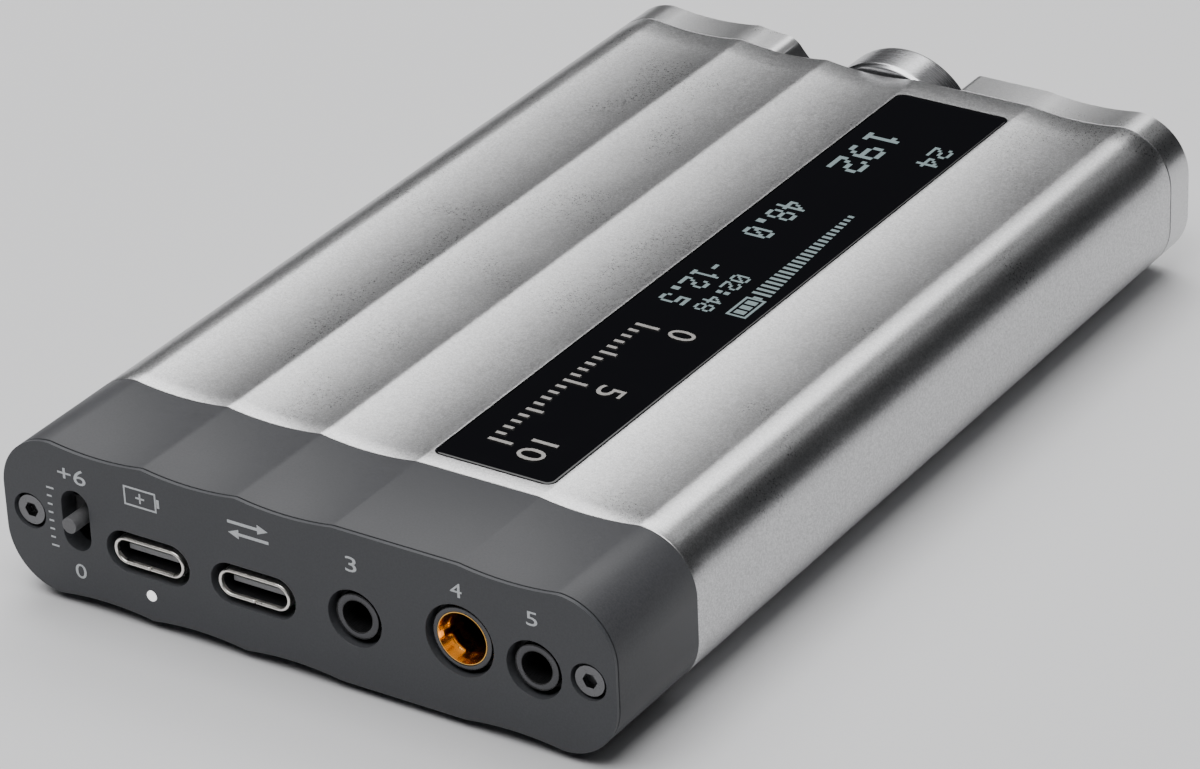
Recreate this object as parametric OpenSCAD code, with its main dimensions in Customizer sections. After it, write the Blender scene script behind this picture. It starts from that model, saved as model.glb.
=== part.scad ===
// Pocket desktop DAC and headphone amplifier, in millimetres.
// X is the width, Y the length with the volume knob at -Y and the ports at +Y, Z is up.
// The origin is the middle of the footprint, on the surface that the feet stand on.

/* [Body] */
// Width of the body
body_w = 75; // [70:0.5:95]
// Height of the body without its feet
body_h = 17.8; // [17:0.2:24]
// Length of the body without the knob and the switch lever
body_len = 121.3; // [112:0.5:150]
// Radius of the long rounded corners
corner_r = 6.5; // [5:0.1:8]
// Radius of the shallow hollows that run along the body
wave_r = 36; // [24:1:60]
// Number of hollows on the wide side of the display strip
wide_waves = 3; // [1:1:4]
// Flat margin on each side of the display glass
strip_margin = 0.3; // [0.2:0.1:2]
// Distance from the middle of the body to the middle of the strip
strip_offset = 11.9; // [8:0.1:16]
// Thinnest wall of the top and bottom
wall = 1.3; // [1:0.1:2]
// Thickness of the side walls
side_wall = 1.5; // [1.2:0.1:2.5]

/* [End pieces] */
// Length of the dark band behind the rear plate
band_len = 12.9; // [10:0.1:20]
// Thickness of the rear plate
plate_t = 2.2; // [2:0.1:4]
// Thickness of the plate's rim, which covers the end of the band
plate_rim_t = 0.4; // [0.3:0.1:1]
// Wall of the band around the rear plate
band_rim_wall = 0.8; // [0.6:0.1:1]
// Depth of the front cap outside the sleeve
cap_len = 4.3; // [4:0.1:8]
// Thickness of the front cap inside the sleeve
spigot_len = 2; // [1.5:0.1:3]
// Gap around a piece that plugs into the sleeve
plug_gap = 0.12; // [0.05:0.01:0.2]
// Length of the lip on the band
lip_len = 1.5; // [1:0.1:3]
// Thickness of the lip on the band
lip_t = 0.9; // [0.8:0.1:1.2]
// Length of the thicker ring inside the band that the lip grows from
lip_root = 1.3; // [1:0.1:3]

/* [Display] */
// Length of the display glass
glass_len = 95.4; // [80:0.1:100]
// Width of the display glass
glass_w = 14.4; // [12:0.1:18]
// Thickness of the display glass
glass_t = 1.2; // [0.8:0.1:1.2]
// Radius of the corners of the glass
glass_r = 1; // [0.5:0.1:2]
// Distance from the band's seam to the glass
glass_margin = 2.3; // [1:0.1:6]
// Gap between the glass and its recess
glass_gap = 0.1; // [0.05:0.01:0.2]
// Length of the screen module
screen_len = 84; // [60:1:86]
// Width of the screen module
screen_w = 11; // [9:0.1:12]
// Thickness of the screen module
screen_t = 1; // [0.8:0.1:1.4]

/* [Knob] */
// Radius of the volume knob
knob_r = 9.4; // [7.5:0.1:9.9]
// Thickness of the volume knob
knob_t = 5.4; // [5:0.1:7]
// How far the knob stands out of the front cap
knob_proud = 1.7; // [1:0.1:3]
// Chamfer around both rims of the knob
knob_chamfer = 0.5; // [0.2:0.1:0.8]
// Gap around the knob in its hollow
pocket_gap = 0.8; // [0.5:0.1:2]
// Radius of the finger scoops above and below the knob
scoop_r = 14.3; // [12:0.1:18]
// How much of the cap is left between the two scoops
scoop_land = 3.6; // [3:0.1:6]
// Distance from the knob's axis to the middle of the scoops
scoop_offset = 2.1; // [0:0.1:3]
// Radius of the knob's shaft
shaft_r = 1.5; // [1.4:0.1:2.5]
// Radial gap between the shaft and its bush
shaft_gap = 0.05; // [0.03:0.01:0.1]
// How far the knob can be pressed in
press_travel = 0.3; // [0.2:0.05:0.5]

/* [Buttons] */
// Radius of the front buttons
button_r = 2.4; // [1.8:0.1:2.6]
// Gap around a front button
button_gap = 0.1; // [0.05:0.01:0.1]
// Distance from the knob's axis to the inner button
button_inner_x = 19; // [18:0.5:21]
// Distance between the two buttons
button_pitch = 8; // [7:0.5:9]
// How far a button stands out of the front cap
button_proud = 0.6; // [0.3:0.1:1]

/* [Jacks] */
// Bore radius of a small jack
small_bore_r = 1.8; // [1.76:0.01:1.85]
// Nose radius of a small jack
small_nose_r = 2.55; // [2.3:0.05:2.8]
// Radius of the opening for a small jack
small_hole_r = 3.24; // [3:0.01:3.4]
// Bore radius of a balanced jack
large_bore_r = 2.25; // [2.21:0.01:2.3]
// Outer radius of the gold liner in a balanced jack
liner_r = 2.95; // [2.6:0.05:3.1]
// Nose radius of a balanced jack
large_nose_r = 3.5; // [3.3:0.05:3.7]
// Radius of the opening for a balanced jack
large_hole_r = 4.04; // [3.9:0.01:4.3]
// How deep the face of a jack sits below the outside face
jack_set_back = 0.5; // [0.2:0.1:1]
// Depth of a small jack behind the wall
small_jack_len = 13; // [12:0.5:15]
// Depth of a balanced jack behind the wall
large_jack_len = 15; // [14:0.5:18]

/* [Type-C sockets] */
// Width of a socket shell
socket_w = 8.94; // [8.9:0.01:9.2]
// Height of a socket shell
socket_h = 3.2; // [3.1:0.01:3.4]
// Depth of a socket shell
socket_len = 7.35; // [7:0.05:9]
// Gap around a shell in the rear plate
socket_gap = 0.8; // [0.3:0.05:0.9]

/* [Slide switches] */
// Width of the slot for the rear switch
tone_slot_w = 3.5; // [3:0.1:4]
// Gap above and below the lever at the ends of its travel
tone_slot_gap = 0.6; // [0.3:0.1:1]
// Travel each way from the middle position
switch_travel = 2; // [1:0.1:2.2]
// Radius of the rear switch lever
lever_r = 0.9; // [0.7:0.05:1.1]
// How far the rear lever stands out of the plate
lever_proud = 1.2; // [0.8:0.1:1.6]

/* [Boards and battery] */
// Thickness of the circuit boards
board_t = 1.2; // [0.8:0.1:1.6]
// Distance from the side wall to the edge of the main board
board_margin = 2.4; // [2.4:0.1:6]
// Distance from the battery to the rounded side of the sleeve
battery_margin = 1.5; // [1:0.5:12]
// Length of the battery
battery_len = 68; // [40:1:70]
// Thickness of the battery
battery_t = 6; // [4:0.1:6.2]

/* [Fasteners] */
// Distance from the side of the body to a screw
screw_inset = 3.2; // [3:0.1:4]
// Radius of a screw's shank
shank_r = 1; // [0.8:0.05:1.2]
// Radius of a screw's head
head_r = 1.7; // [1.5:0.05:1.8]
// Height of a screw's head
head_h = 1.2; // [0.8:0.05:1.3]
// Radius of the counterbore for a screw's head
counterbore_r = 2.07; // [2:0.01:2.3]
// Width across the flats of the hex socket
hex_w = 1.5; // [1.3:0.1:1.6]

/* [Feet] */
// Radius of a foot
foot_r = 4; // [3:0.1:5]
// How far a foot stands below the body
foot_h = 1.1; // [0.8:0.1:2]
// Distance from the side of the body to the middle of a foot
foot_inset = 11.5; // [9:0.5:16]

/* [Hidden] */
$fn = 96;
eps = 0.5;                // how far a cut runs past a face
fit_gap = 0.05;           // gap between pieces that are assembled by hand

// Heights
mid_z = foot_h + body_h / 2;

// Places along the body
total_len = knob_proud + body_len + lever_proud;
rear_y = total_len / 2 - lever_proud;
front_y = rear_y - body_len;
plate_y = rear_y - plate_t;
plate_rim_y = rear_y - plate_rim_t;
band_y = plate_y - band_len;
seam_y = front_y + cap_len;
spigot_y = seam_y + spigot_len;

// Places across the body
screw_x = body_w / 2 - screw_inset;
foot_x = body_w / 2 - foot_inset;
button_outer_x = button_inner_x + button_pitch;

// Waves
crest_x = body_w / 2 - corner_r;
strip_low_x = -strip_offset - glass_w / 2 - strip_margin;
strip_high_x = -strip_offset + glass_w / 2 + strip_margin;
wide_chord = (crest_x - strip_high_x) / wide_waves;
narrow_chord = crest_x + strip_low_x;
function sagitta(chord) = wave_r - sqrt(wave_r * wave_r - chord * chord / 4);
wave_depth = max(sagitta(wide_chord), sagitta(narrow_chord));
waves = concat(
    [for (i = [0 : wide_waves - 1]) [strip_high_x + (i + 0.5) * wide_chord, wide_chord]],
    [[-crest_x + narrow_chord / 2, narrow_chord]]);

// Inside of the body
inner_half_h = body_h / 2 - wave_depth - wall;
inner_half_w = body_w / 2 - side_wall;
inner_r = corner_r - side_wall;
boss_r = 2.5;
boss_hole_r = shank_r + fit_gap;

// Rear ports, as distance from the middle and height above the middle
tone_at = [screw_x - 6.05, 0.45];
charge_at = [tone_at[0] - 9.05, -1.45];
data_at = [5.95, charge_at[1]];
digital_at = [-6.6, -1];
line_at = [6.3 - screw_x, -0.5];
balanced_line_at = [line_at[0] + 8.75, 0.2];

// Front jacks
headphone_at = [6.9 - screw_x, line_at[1]];
balanced_headphone_at = [headphone_at[0] + 9.4, balanced_line_at[1]];

// Lamps and their light pipes
lamp_r = 0.6;
lamp_margin = 0.6;
lamp_x = (button_inner_x + button_outer_x) / 2;
lamp_z = 4;
lamp_t = 0.8;
lamp_gap = 0.3;
charge_lamp_at = [charge_at[0], lamp_margin + lamp_r - inner_half_h];

// Boards
board_top = data_at[1] - socket_h / 2;
board_bottom = board_top - board_t;
board_w = 2 * (inner_half_w - board_margin);
rail_t = 0.8;
rail_x = board_w / 2 - 1.4;
encoder_depth = 7.4;
front_board_y = spigot_y + encoder_depth;
board_front_y = front_board_y + board_t + 0.1;
board_rear_y = plate_y - 0.6;
front_board_low_x = -12.8;
front_board_high_x = screw_x - boss_r - 0.5;
front_board_half_h = inner_half_h - 0.7;

// Parts on the main board: boxes as [x, y, width, length, height]
connector_box = [5, front_board_y + board_t, 12, board_front_y - front_board_y - board_t + 4, 2.4];
shield_box = [-2, band_y - 26, 18, 22, 1.8];
radio_box = [20, band_y - 14, 11, 11, 1.6];
antenna_box = [21, band_y + 2, 9, 2.5, 0.8];
chip_h = 1;
chip_places = [[-26, 8, 7], [-26, -8, 7], [-10, -14, 5], [6, -14, 9], [8, -32, 6]];
capacitor_r = 2;
capacitor_h = 2.8;
capacitor_pitch = 5.2;
capacitor_at = [-27, 20];

// Jack housings behind the wall, and the depth of the bores from the face of a jack
small_box_w = 7.2;
small_box_h = 5.6;
small_bore_len = 14.2;
large_box_w = 9;
large_box_h = 8.4;
large_bore_len = 16.2;

// Type-C sockets
mouth_y = rear_y - 0.1;
shell_t = 0.3;
shell_back_t = 1;
tongue_w = 6.7;
tongue_t = 0.7;
tongue_len = 5.2;

// Battery
battery_low_x = strip_high_x + 1;
battery_high_x = crest_x - battery_margin;
battery_tape_t = 0.3;
battery_top = inner_half_h - battery_tape_t;
battery_tape_margin = 3;
lead_w = 1.2;
lead_t = 0.8;
lead_pitch = 2;
battery_front_y = board_front_y + 5;

// Display
glass_rear_y = band_y - glass_margin;
glass_mid_y = glass_rear_y - glass_len / 2;
glass_bottom = body_h / 2 - glass_t;
screen_gap = 0.3;
ribbon_t = 0.2;
ribbon_w = 8;
ribbon_fold = 4;

// Knob and encoder
knob_front_y = front_y - knob_proud;
knob_front_t = 1.1;
knob_bore_y = knob_front_y + knob_front_t;
pocket_r = knob_r + pocket_gap;
scoop_z = scoop_land / 2 + scoop_r;
bush_r = shaft_r + 1.8;
nut_w = 9;
nut_t = 1.2;
nut_hollow_r = nut_w / sqrt(3) + 0.6;
nut_hollow_t = 2.2;
encoder_w = 11;
encoder_wall = 1;
encoder_cavity_r = 3.2;
flange_r = 2.6;
flange_t = 1;
flange_y = spigot_y + encoder_wall + 0.4;
tail_end_y = flange_y + flange_t + 1.3;
plunger_y = tail_end_y + 0.3;
spring_t = 0.3;
plunger_end_y = front_board_y - spring_t - press_travel - 0.3;

// Buttons
button_flange_r = button_r + 0.6;
button_flange_t = 0.6;
button_flange_y = spigot_y + 0.3;
stem_r = 1.2;
stem_front_y = button_flange_y + button_flange_t + press_travel + 0.1;
tact_w = 4.5;
tact_depth = 3;

// Slide switches
tone_slot_len = 2 * (switch_travel + lever_r + tone_slot_gap);
slider_w = 4.4;
slider_len = 2.8;
slider_t = 1;
slider_gap = 0.3;
housing_wall = 0.7;
gain_at = [22, -30];
gain_slot_w = 2.4;
gain_lever_r = 0.8;
gain_travel = 1.5;
gain_slot_len = 2 * (gain_travel + gain_lever_r + slider_gap);
gain_lever_proud = 0.3;
gain_floor = -inner_half_h;
gain_len = slider_w + 2 * (gain_travel + slider_gap + housing_wall);
gain_w = slider_len + 2 * (slider_gap + housing_wall);

// Screws
head_set_back = 0.25;
counterbore_depth = head_h + head_set_back;
hex_depth = 0.8;
screw_bite = 6;

// Feet
foot_front_y = seam_y + 12;
foot_rear_y = band_y - 8;
foot_seat = wave_depth + 0.1;
foot_gap = 0.1;

silver = "#b4b5b8";
charcoal = "#45464a";
black = "#141416";
bare_metal = "#d9d9d6";
gold = "#d8a13a";
board_green = "#1f4a36";

// ---- shared shapes ----

// Extrudes a shape drawn in width and height from y0 to y1; z = 0 of the shape is the middle height
module along_y(y0, y1) {
    translate([0, y1, mid_z]) rotate([90, 0, 0]) linear_extrude(y1 - y0) children();
}

// A round bar along the length at [x, height above the middle]
module bar_y(at, r, y0, y1) {
    along_y(y0, y1) translate(at) circle(r);
}

module slab(w, h, r) {
    square([w - 2 * r, h], center = true);
    square([w, h - 2 * r], center = true);
    for (sx = [-1, 1], sz = [-1, 1]) translate([sx * (w / 2 - r), sz * (h / 2 - r)]) circle(r);
}

// A slot with round ends, its long side along X
module stadium(len, w) {
    square([len - w, w], center = true);
    for (sx = [-1, 1]) translate([sx * (len - w) / 2, 0]) circle(w / 2);
}

// Cross-section of the body: a rounded slab with shallow hollows above and below
module outline() {
    difference() {
        slab(body_w, body_h, corner_r);
        for (wave = waves, sz = [-1, 1])
            translate([wave[0], sz * (body_h / 2 - sagitta(wave[1]) + wave_r)]) circle(wave_r, $fn = 360);
    }
}

// Cross-section of the space inside the body, made smaller by inset
module inside(inset) {
    slab(2 * (inner_half_w - inset), 2 * (inner_half_h - inset), inner_r - inset);
}

// Cross-section of the seat for the rear plate inside the end of the band
module plate_seat(inset) {
    grip = band_rim_wall + inset;
    slab(body_w - 2 * grip, body_h - 2 * (wave_depth + grip), corner_r - grip);
}

module bosses(grow) {
    for (sx = [-1, 1]) translate([sx * screw_x, 0]) circle(boss_r + grow);
}

// Ribs above and below each edge of the main board
module rails(grow) {
    rib_w = inner_half_w - rail_x;
    for (sx = [-1, 1], z = [board_bottom - fit_gap - rail_t, board_top + fit_gap])
        translate([sx * (rail_x + rib_w / 2), z + rail_t / 2])
            square([rib_w + 2 * grow, rail_t + 2 * grow], center = true);
}

module screw_holes(r) {
    for (sx = [-1, 1]) translate([sx * screw_x, 0]) circle(r);
}

// A box from x0 to x1, y0 to y1 and between two heights above the middle
module block(x0, x1, y0, y1, z0, z1) {
    translate([x0, y0, mid_z + z0]) cube([x1 - x0, y1 - y0, z1 - z0]);
}

// ---- body ----

module glass_shape(grow) {
    w = glass_w + 2 * grow;
    len = glass_len + 2 * grow;
    translate([-strip_offset, glass_mid_y]) slab(w, len, glass_r + grow);
}

module body_sleeve() {
    color(silver) difference() {
        along_y(seam_y, band_y) difference() {
            outline();
            difference() {
                inside(0);
                bosses(0);
                rails(0);
            }
            screw_holes(boss_hole_r);
        }
        translate([0, 0, mid_z + glass_bottom]) linear_extrude(glass_t + eps) glass_shape(glass_gap);
        block(-strip_offset - screen_w / 2 - screen_gap, -strip_offset + screen_w / 2 + screen_gap,
            glass_mid_y - screen_len / 2 - screen_gap, glass_mid_y + screen_len / 2 + screen_gap,
            0, glass_bottom + eps);
        translate([gain_at[0], gain_at[1], 0]) linear_extrude(mid_z - inner_half_h + eps)
            stadium(gain_slot_len, gain_slot_w);
        foot_places() cylinder(h = foot_h + foot_seat, r = foot_r + foot_gap);
    }
}

module rear_band() {
    color(charcoal) {
        along_y(band_y, plate_y) difference() {
            outline();
            difference() {
                inside(0);
                bosses(0);
            }
            screw_holes(boss_hole_r);
        }
        along_y(plate_y, plate_rim_y) difference() {
            outline();
            plate_seat(0);
        }
        along_y(band_y - lip_len, band_y) difference() {
            inside(plug_gap);
            inside(plug_gap + lip_t);
            bosses(plug_gap);
            rails(plug_gap);
        }
        along_y(band_y, band_y + lip_root) difference() {
            inside(0);
            inside(plug_gap + lip_t);
            screw_holes(boss_hole_r);
        }
    }
}

module rear_openings() {
    translate(tone_at) rotate(90) stadium(tone_slot_len, tone_slot_w);
    for (at = [charge_at, data_at])
        translate(at) stadium(socket_w + 2 * socket_gap, socket_h + 2 * socket_gap);
    for (at = [digital_at, line_at]) translate(at) circle(small_hole_r);
    translate(balanced_line_at) circle(large_hole_r);
    translate(charge_lamp_at) circle(lamp_r + fit_gap);
}

module rear_plate() {
    color(charcoal) difference() {
        union() {
            along_y(plate_rim_y, rear_y) outline();
            along_y(plate_y, plate_rim_y) plate_seat(plug_gap);
        }
        along_y(plate_y - eps, rear_y + eps) {
            rear_openings();
            screw_holes(boss_hole_r);
        }
        along_y(rear_y - counterbore_depth, rear_y + eps) screw_holes(counterbore_r);
    }
}

// The hollow around the knob, with a finger scoop above and below it
module knob_hollow() {
    circle(pocket_r);
    for (sz = [-1, 1]) translate([scoop_offset, sz * scoop_z]) circle(scoop_r);
}

module front_openings() {
    translate(balanced_headphone_at) circle(large_hole_r);
    translate(headphone_at) circle(small_hole_r);
    for (x = [button_inner_x, button_outer_x]) translate([x, 0]) circle(button_r + button_gap);
    for (sz = [-1, 1]) translate([lamp_x, sz * lamp_z]) circle(lamp_r + fit_gap);
}

module front_cap() {
    color(silver) difference() {
        union() {
            along_y(front_y, seam_y) difference() {
                outline();
                knob_hollow();
            }
            along_y(seam_y, spigot_y) difference() {
                inside(plug_gap);
                bosses(plug_gap);
                rails(plug_gap);
            }
        }
        along_y(front_y - eps, spigot_y + eps) {
            front_openings();
            circle(bush_r + fit_gap);
        }
        along_y(front_y - eps, seam_y + eps) screw_holes(boss_hole_r);
        along_y(front_y - eps, front_y + counterbore_depth) screw_holes(counterbore_r);
    }
}

// ---- display ----

module display_glass() {
    color(black) translate([0, 0, mid_z + glass_bottom]) linear_extrude(glass_t) glass_shape(0);
}

module display_module() {
    color("#26282c") block(-strip_offset - screen_w / 2, -strip_offset + screen_w / 2,
        glass_mid_y - screen_len / 2, glass_mid_y + screen_len / 2,
        glass_bottom - fit_gap - screen_t, glass_bottom - fit_gap);
}

// A flat cable that hangs from the rear end of the screen to the main board
module display_ribbon() {
    top = glass_bottom - fit_gap - screen_t;
    start_y = glass_mid_y + screen_len / 2 - 6;
    color("#b5651d") {
        block(-strip_offset - ribbon_w / 2, -strip_offset + ribbon_w / 2,
            start_y, start_y + ribbon_fold, top - ribbon_t, top);
        block(-strip_offset - ribbon_w / 2, -strip_offset + ribbon_w / 2,
            start_y, start_y + ribbon_t, board_top, top);
        block(-strip_offset - ribbon_w / 2, -strip_offset + ribbon_w / 2,
            start_y - ribbon_fold, start_y + ribbon_t, board_top, board_top + ribbon_t);
    }
}

// ---- boards ----

module main_board() {
    jack_gap = 0.2;
    color(board_green) difference() {
        block(-board_w / 2, board_w / 2, board_front_y, board_rear_y, board_bottom, board_top);
        for (at = [digital_at, line_at])
            jack_room(at, small_box_w + 2 * jack_gap, plate_y - small_jack_len - jack_gap, plate_y);
        jack_room(balanced_line_at, large_box_w + 2 * jack_gap,
            plate_y - large_jack_len - jack_gap, plate_y);
        jack_room(headphone_at, small_box_w + 2 * jack_gap, spigot_y, spigot_y + small_jack_len + jack_gap);
        jack_room(balanced_headphone_at, large_box_w + 2 * jack_gap,
            spigot_y, spigot_y + large_jack_len + jack_gap);
        jack_room(tone_at, slider_w + 2 * (slider_gap + housing_wall + jack_gap),
            plate_y - slider_t - 2 * slider_gap - housing_wall - jack_gap, plate_y);
    }
}

// The cut-out in the main board for one jack
module jack_room(at, w, y0, y1) {
    block(at[0] - w / 2, at[0] + w / 2, y0, y1, board_bottom - eps, board_top + eps);
}

module front_board() {
    color(board_green) block(front_board_low_x, front_board_high_x, front_board_y, front_board_y + board_t,
        -front_board_half_h, front_board_half_h);
}

// A box that stands on the main board: [x, y, width, length, height]
module on_board(box) {
    block(box[0], box[0] + box[2], box[1], box[1] + box[3], board_top, board_top + box[4]);
}

module board_connector() { color(black) on_board(connector_box); }
module shield_can() { color(bare_metal) on_board(shield_box); }
module radio_module() { color(bare_metal) on_board(radio_box); }
module radio_antenna() { color("#c9a227") on_board(antenna_box); }

module main_chips() {
    color(black) for (chip = chip_places) on_board([chip[0], chip[1], chip[2], chip[2], chip_h]);
}

module capacitors() {
    color("#8c6b3a") for (row = [0 : 1], i = [0 : 2])
        translate([capacitor_at[0] + row * capacitor_pitch, capacitor_at[1] + i * capacitor_pitch,
            mid_z + board_top]) cylinder(h = capacitor_h, r = capacitor_r);
}

// ---- battery ----

module battery_cell() {
    color("#9aa0a6") block(battery_low_x, battery_high_x,
        battery_front_y, battery_front_y + battery_len, battery_top - battery_t, battery_top);
}

module battery_tape() {
    m = battery_tape_margin;
    color("white") block(battery_low_x + m, battery_high_x - m,
        battery_front_y + m, battery_front_y + battery_len - m, battery_top, inner_half_h - fit_gap);
}

// Two flat leads from the rear end of the battery down to the main board
module battery_lead() {
    lead_y = battery_front_y + battery_len;
    color("#a02020") for (i = [0 : 1]) {
        x = battery_high_x - 10 + i * lead_pitch;
        block(x, x + lead_w, lead_y, lead_y + lead_t, board_top, battery_top - battery_t / 2);
    }
}

// ---- sockets and jacks ----

module socket_shell(at) {
    color(bare_metal) difference() {
        along_y(mouth_y - socket_len, mouth_y) translate(at) stadium(socket_w, socket_h);
        along_y(mouth_y - socket_len + shell_back_t, mouth_y + eps)
            translate(at) stadium(socket_w - 2 * shell_t, socket_h - 2 * shell_t);
    }
}

module socket_tongue(at) {
    y0 = mouth_y - socket_len + shell_back_t;
    color(black) block(at[0] - tongue_w / 2, at[0] + tongue_w / 2, y0, y0 + tongue_len,
        at[1] - tongue_t / 2, at[1] + tongue_t / 2);
}

module charge_socket_shell() { socket_shell(charge_at); }
module charge_socket_tongue() { socket_tongue(charge_at); }
module data_socket_shell() { socket_shell(data_at); }
module data_socket_tongue() { socket_tongue(data_at); }

// A jack whose round nose reaches from face_y to wall_y, with its housing from wall_y to end_y
module jack(at, face_y, wall_y, end_y, nose_r, bore_r, box_w, box_h, bore_len) {
    dir = sign(end_y - face_y);
    bore_end = face_y + dir * bore_len;
    color(black) difference() {
        union() {
            bar_y(at, nose_r, min(face_y, wall_y), max(face_y, wall_y));
            block(at[0] - box_w / 2, at[0] + box_w / 2, min(wall_y, end_y), max(wall_y, end_y),
                at[1] - box_h / 2, at[1] + box_h / 2);
        }
        bar_y(at, bore_r, min(face_y - dir * eps, bore_end), max(face_y - dir * eps, bore_end));
    }
}

module digital_jack() {
    jack(digital_at, rear_y - jack_set_back, plate_y, plate_y - small_jack_len,
        small_nose_r, small_bore_r, small_box_w, small_box_h, small_bore_len);
}

module line_jack() {
    jack(line_at, rear_y - jack_set_back, plate_y, plate_y - small_jack_len,
        small_nose_r, small_bore_r, small_box_w, small_box_h, small_bore_len);
}

module balanced_line_jack() {
    jack(balanced_line_at, rear_y - jack_set_back, plate_y, plate_y - large_jack_len,
        large_nose_r, liner_r, large_box_w, large_box_h, large_bore_len);
}

module headphone_jack() {
    jack(headphone_at, front_y + jack_set_back, spigot_y, spigot_y + small_jack_len,
        small_nose_r, small_bore_r, small_box_w, small_box_h, small_bore_len);
}

module balanced_headphone_jack() {
    jack(balanced_headphone_at, front_y + jack_set_back, spigot_y, spigot_y + large_jack_len,
        large_nose_r, liner_r, large_box_w, large_box_h, large_bore_len);
}

// The gold tube that lines a balanced jack from y0 to y1
module liner(at, y0, y1) {
    color(gold) difference() {
        bar_y(at, liner_r, y0, y1);
        bar_y(at, large_bore_r, y0 - eps, y1 + eps);
    }
}

module balanced_line_contact() {
    face_y = rear_y - jack_set_back;
    liner(balanced_line_at, face_y - large_bore_len, face_y);
}

module balanced_headphone_contact() {
    face_y = front_y + jack_set_back;
    liner(balanced_headphone_at, face_y, face_y + large_bore_len);
}

// ---- slide switches ----

module tone_switch_housing() {
    w = slider_w + 2 * (slider_gap + housing_wall);
    room = slider_t + 2 * slider_gap;
    h = slider_len + 2 * (switch_travel + slider_gap + housing_wall);
    x = tone_at[0];
    z = tone_at[1];
    color(black) difference() {
        block(x - w / 2, x + w / 2, plate_y - room - housing_wall, plate_y, z - h / 2, z + h / 2);
        block(x - w / 2 + housing_wall, x + w / 2 - housing_wall, plate_y - room, plate_y + eps,
            z - h / 2 + housing_wall, z + h / 2 - housing_wall);
    }
}

module tone_switch_lever() {
    x = tone_at[0];
    z = tone_at[1];
    slider_y = plate_y - slider_gap;
    color("#6a6b6e") {
        block(x - slider_w / 2, x + slider_w / 2, slider_y - slider_t, slider_y,
            z - slider_len / 2, z + slider_len / 2);
        bar_y(tone_at, lever_r, slider_y - slider_t / 2, rear_y + lever_proud);
    }
}

module gain_switch_housing() {
    x = gain_at[0];
    y = gain_at[1];
    color(black) difference() {
        block(x - gain_len / 2, x + gain_len / 2, y - gain_w / 2, y + gain_w / 2,
            gain_floor + fit_gap, board_bottom);
        block(x - gain_len / 2 + housing_wall, x + gain_len / 2 - housing_wall,
            y - gain_w / 2 + housing_wall, y + gain_w / 2 - housing_wall,
            gain_floor - eps, gain_floor + slider_t + 2 * slider_gap);
    }
}

module gain_switch_lever() {
    x = gain_at[0];
    y = gain_at[1];
    tip_z = mid_z - body_h / 2 - gain_lever_proud;
    slider_z = mid_z + gain_floor + slider_gap;
    color("#6a6b6e") {
        translate([x - slider_w / 2, y - slider_len / 2, slider_z]) cube([slider_w, slider_len, slider_t]);
        translate([x, y, tip_z]) cylinder(h = slider_z + slider_t / 2 - tip_z, r = gain_lever_r);
    }
}

// ---- lamps ----

module charge_light_pipe() {
    color("white") bar_y(charge_lamp_at, lamp_r, board_rear_y - 1.5, rear_y);
}

module status_light_pipes() {
    color("white") for (sz = [-1, 1])
        bar_y([lamp_x, sz * lamp_z], lamp_r, front_y, front_board_y - lamp_t - lamp_gap);
}

module indicator_lamps() {
    color("#f2e9c0") {
        for (sz = [-1, 1])
            block(lamp_x - lamp_t, lamp_x + lamp_t, front_board_y - lamp_t, front_board_y,
                sz * lamp_z - lamp_t, sz * lamp_z + lamp_t);
        block(charge_lamp_at[0] - lamp_t, charge_lamp_at[0] + lamp_t,
            board_rear_y - 3.5, board_rear_y - 1.5 - lamp_gap, charge_lamp_at[1] - lamp_t / 2, board_bottom);
    }
}

// ---- front controls ----

module front_button(x) {
    color(silver) {
        bar_y([x, 0], button_r, front_y - button_proud, button_flange_y + button_flange_t / 2);
        bar_y([x, 0], button_flange_r, button_flange_y, button_flange_y + button_flange_t);
    }
}

module menu_button() { front_button(button_inner_x); }
module input_button() { front_button(button_outer_x); }

module button_switches() {
    color(black) for (x = [button_inner_x, button_outer_x]) {
        block(x - tact_w / 2, x + tact_w / 2, front_board_y - tact_depth, front_board_y,
            -tact_w / 2, tact_w / 2);
        bar_y([x, 0], stem_r, stem_front_y, front_board_y - tact_depth / 2);
    }
}

module encoder_body() {
    color(bare_metal) difference() {
        union() {
            block(-encoder_w / 2, encoder_w / 2, spigot_y, front_board_y, -encoder_w / 2, encoder_w / 2);
            bar_y([0, 0], bush_r, seam_y - nut_t - 0.3, spigot_y + encoder_wall / 2);
        }
        bar_y([0, 0], shaft_r + shaft_gap, seam_y - nut_t - eps, spigot_y + encoder_wall + eps);
        bar_y([0, 0], encoder_cavity_r, spigot_y + encoder_wall, front_board_y + eps);
    }
}

module encoder_nut() {
    color(bare_metal) difference() {
        along_y(seam_y - nut_t, seam_y) circle(nut_w / sqrt(3), $fn = 6);
        bar_y([0, 0], bush_r + fit_gap, seam_y - nut_t - eps, seam_y + eps);
    }
}

module encoder_plunger() {
    color("#3b3c40") bar_y([0, 0], flange_r - 0.2, plunger_y, plunger_end_y);
}

module encoder_spring() {
    color(bare_metal) bar_y([0, 0], flange_r, front_board_y - spring_t, front_board_y);
}

module knob_shaft() {
    color(bare_metal) {
        bar_y([0, 0], shaft_r, knob_bore_y + fit_gap, tail_end_y);
        bar_y([0, 0], flange_r, flange_y, flange_y + flange_t);
    }
}

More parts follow.
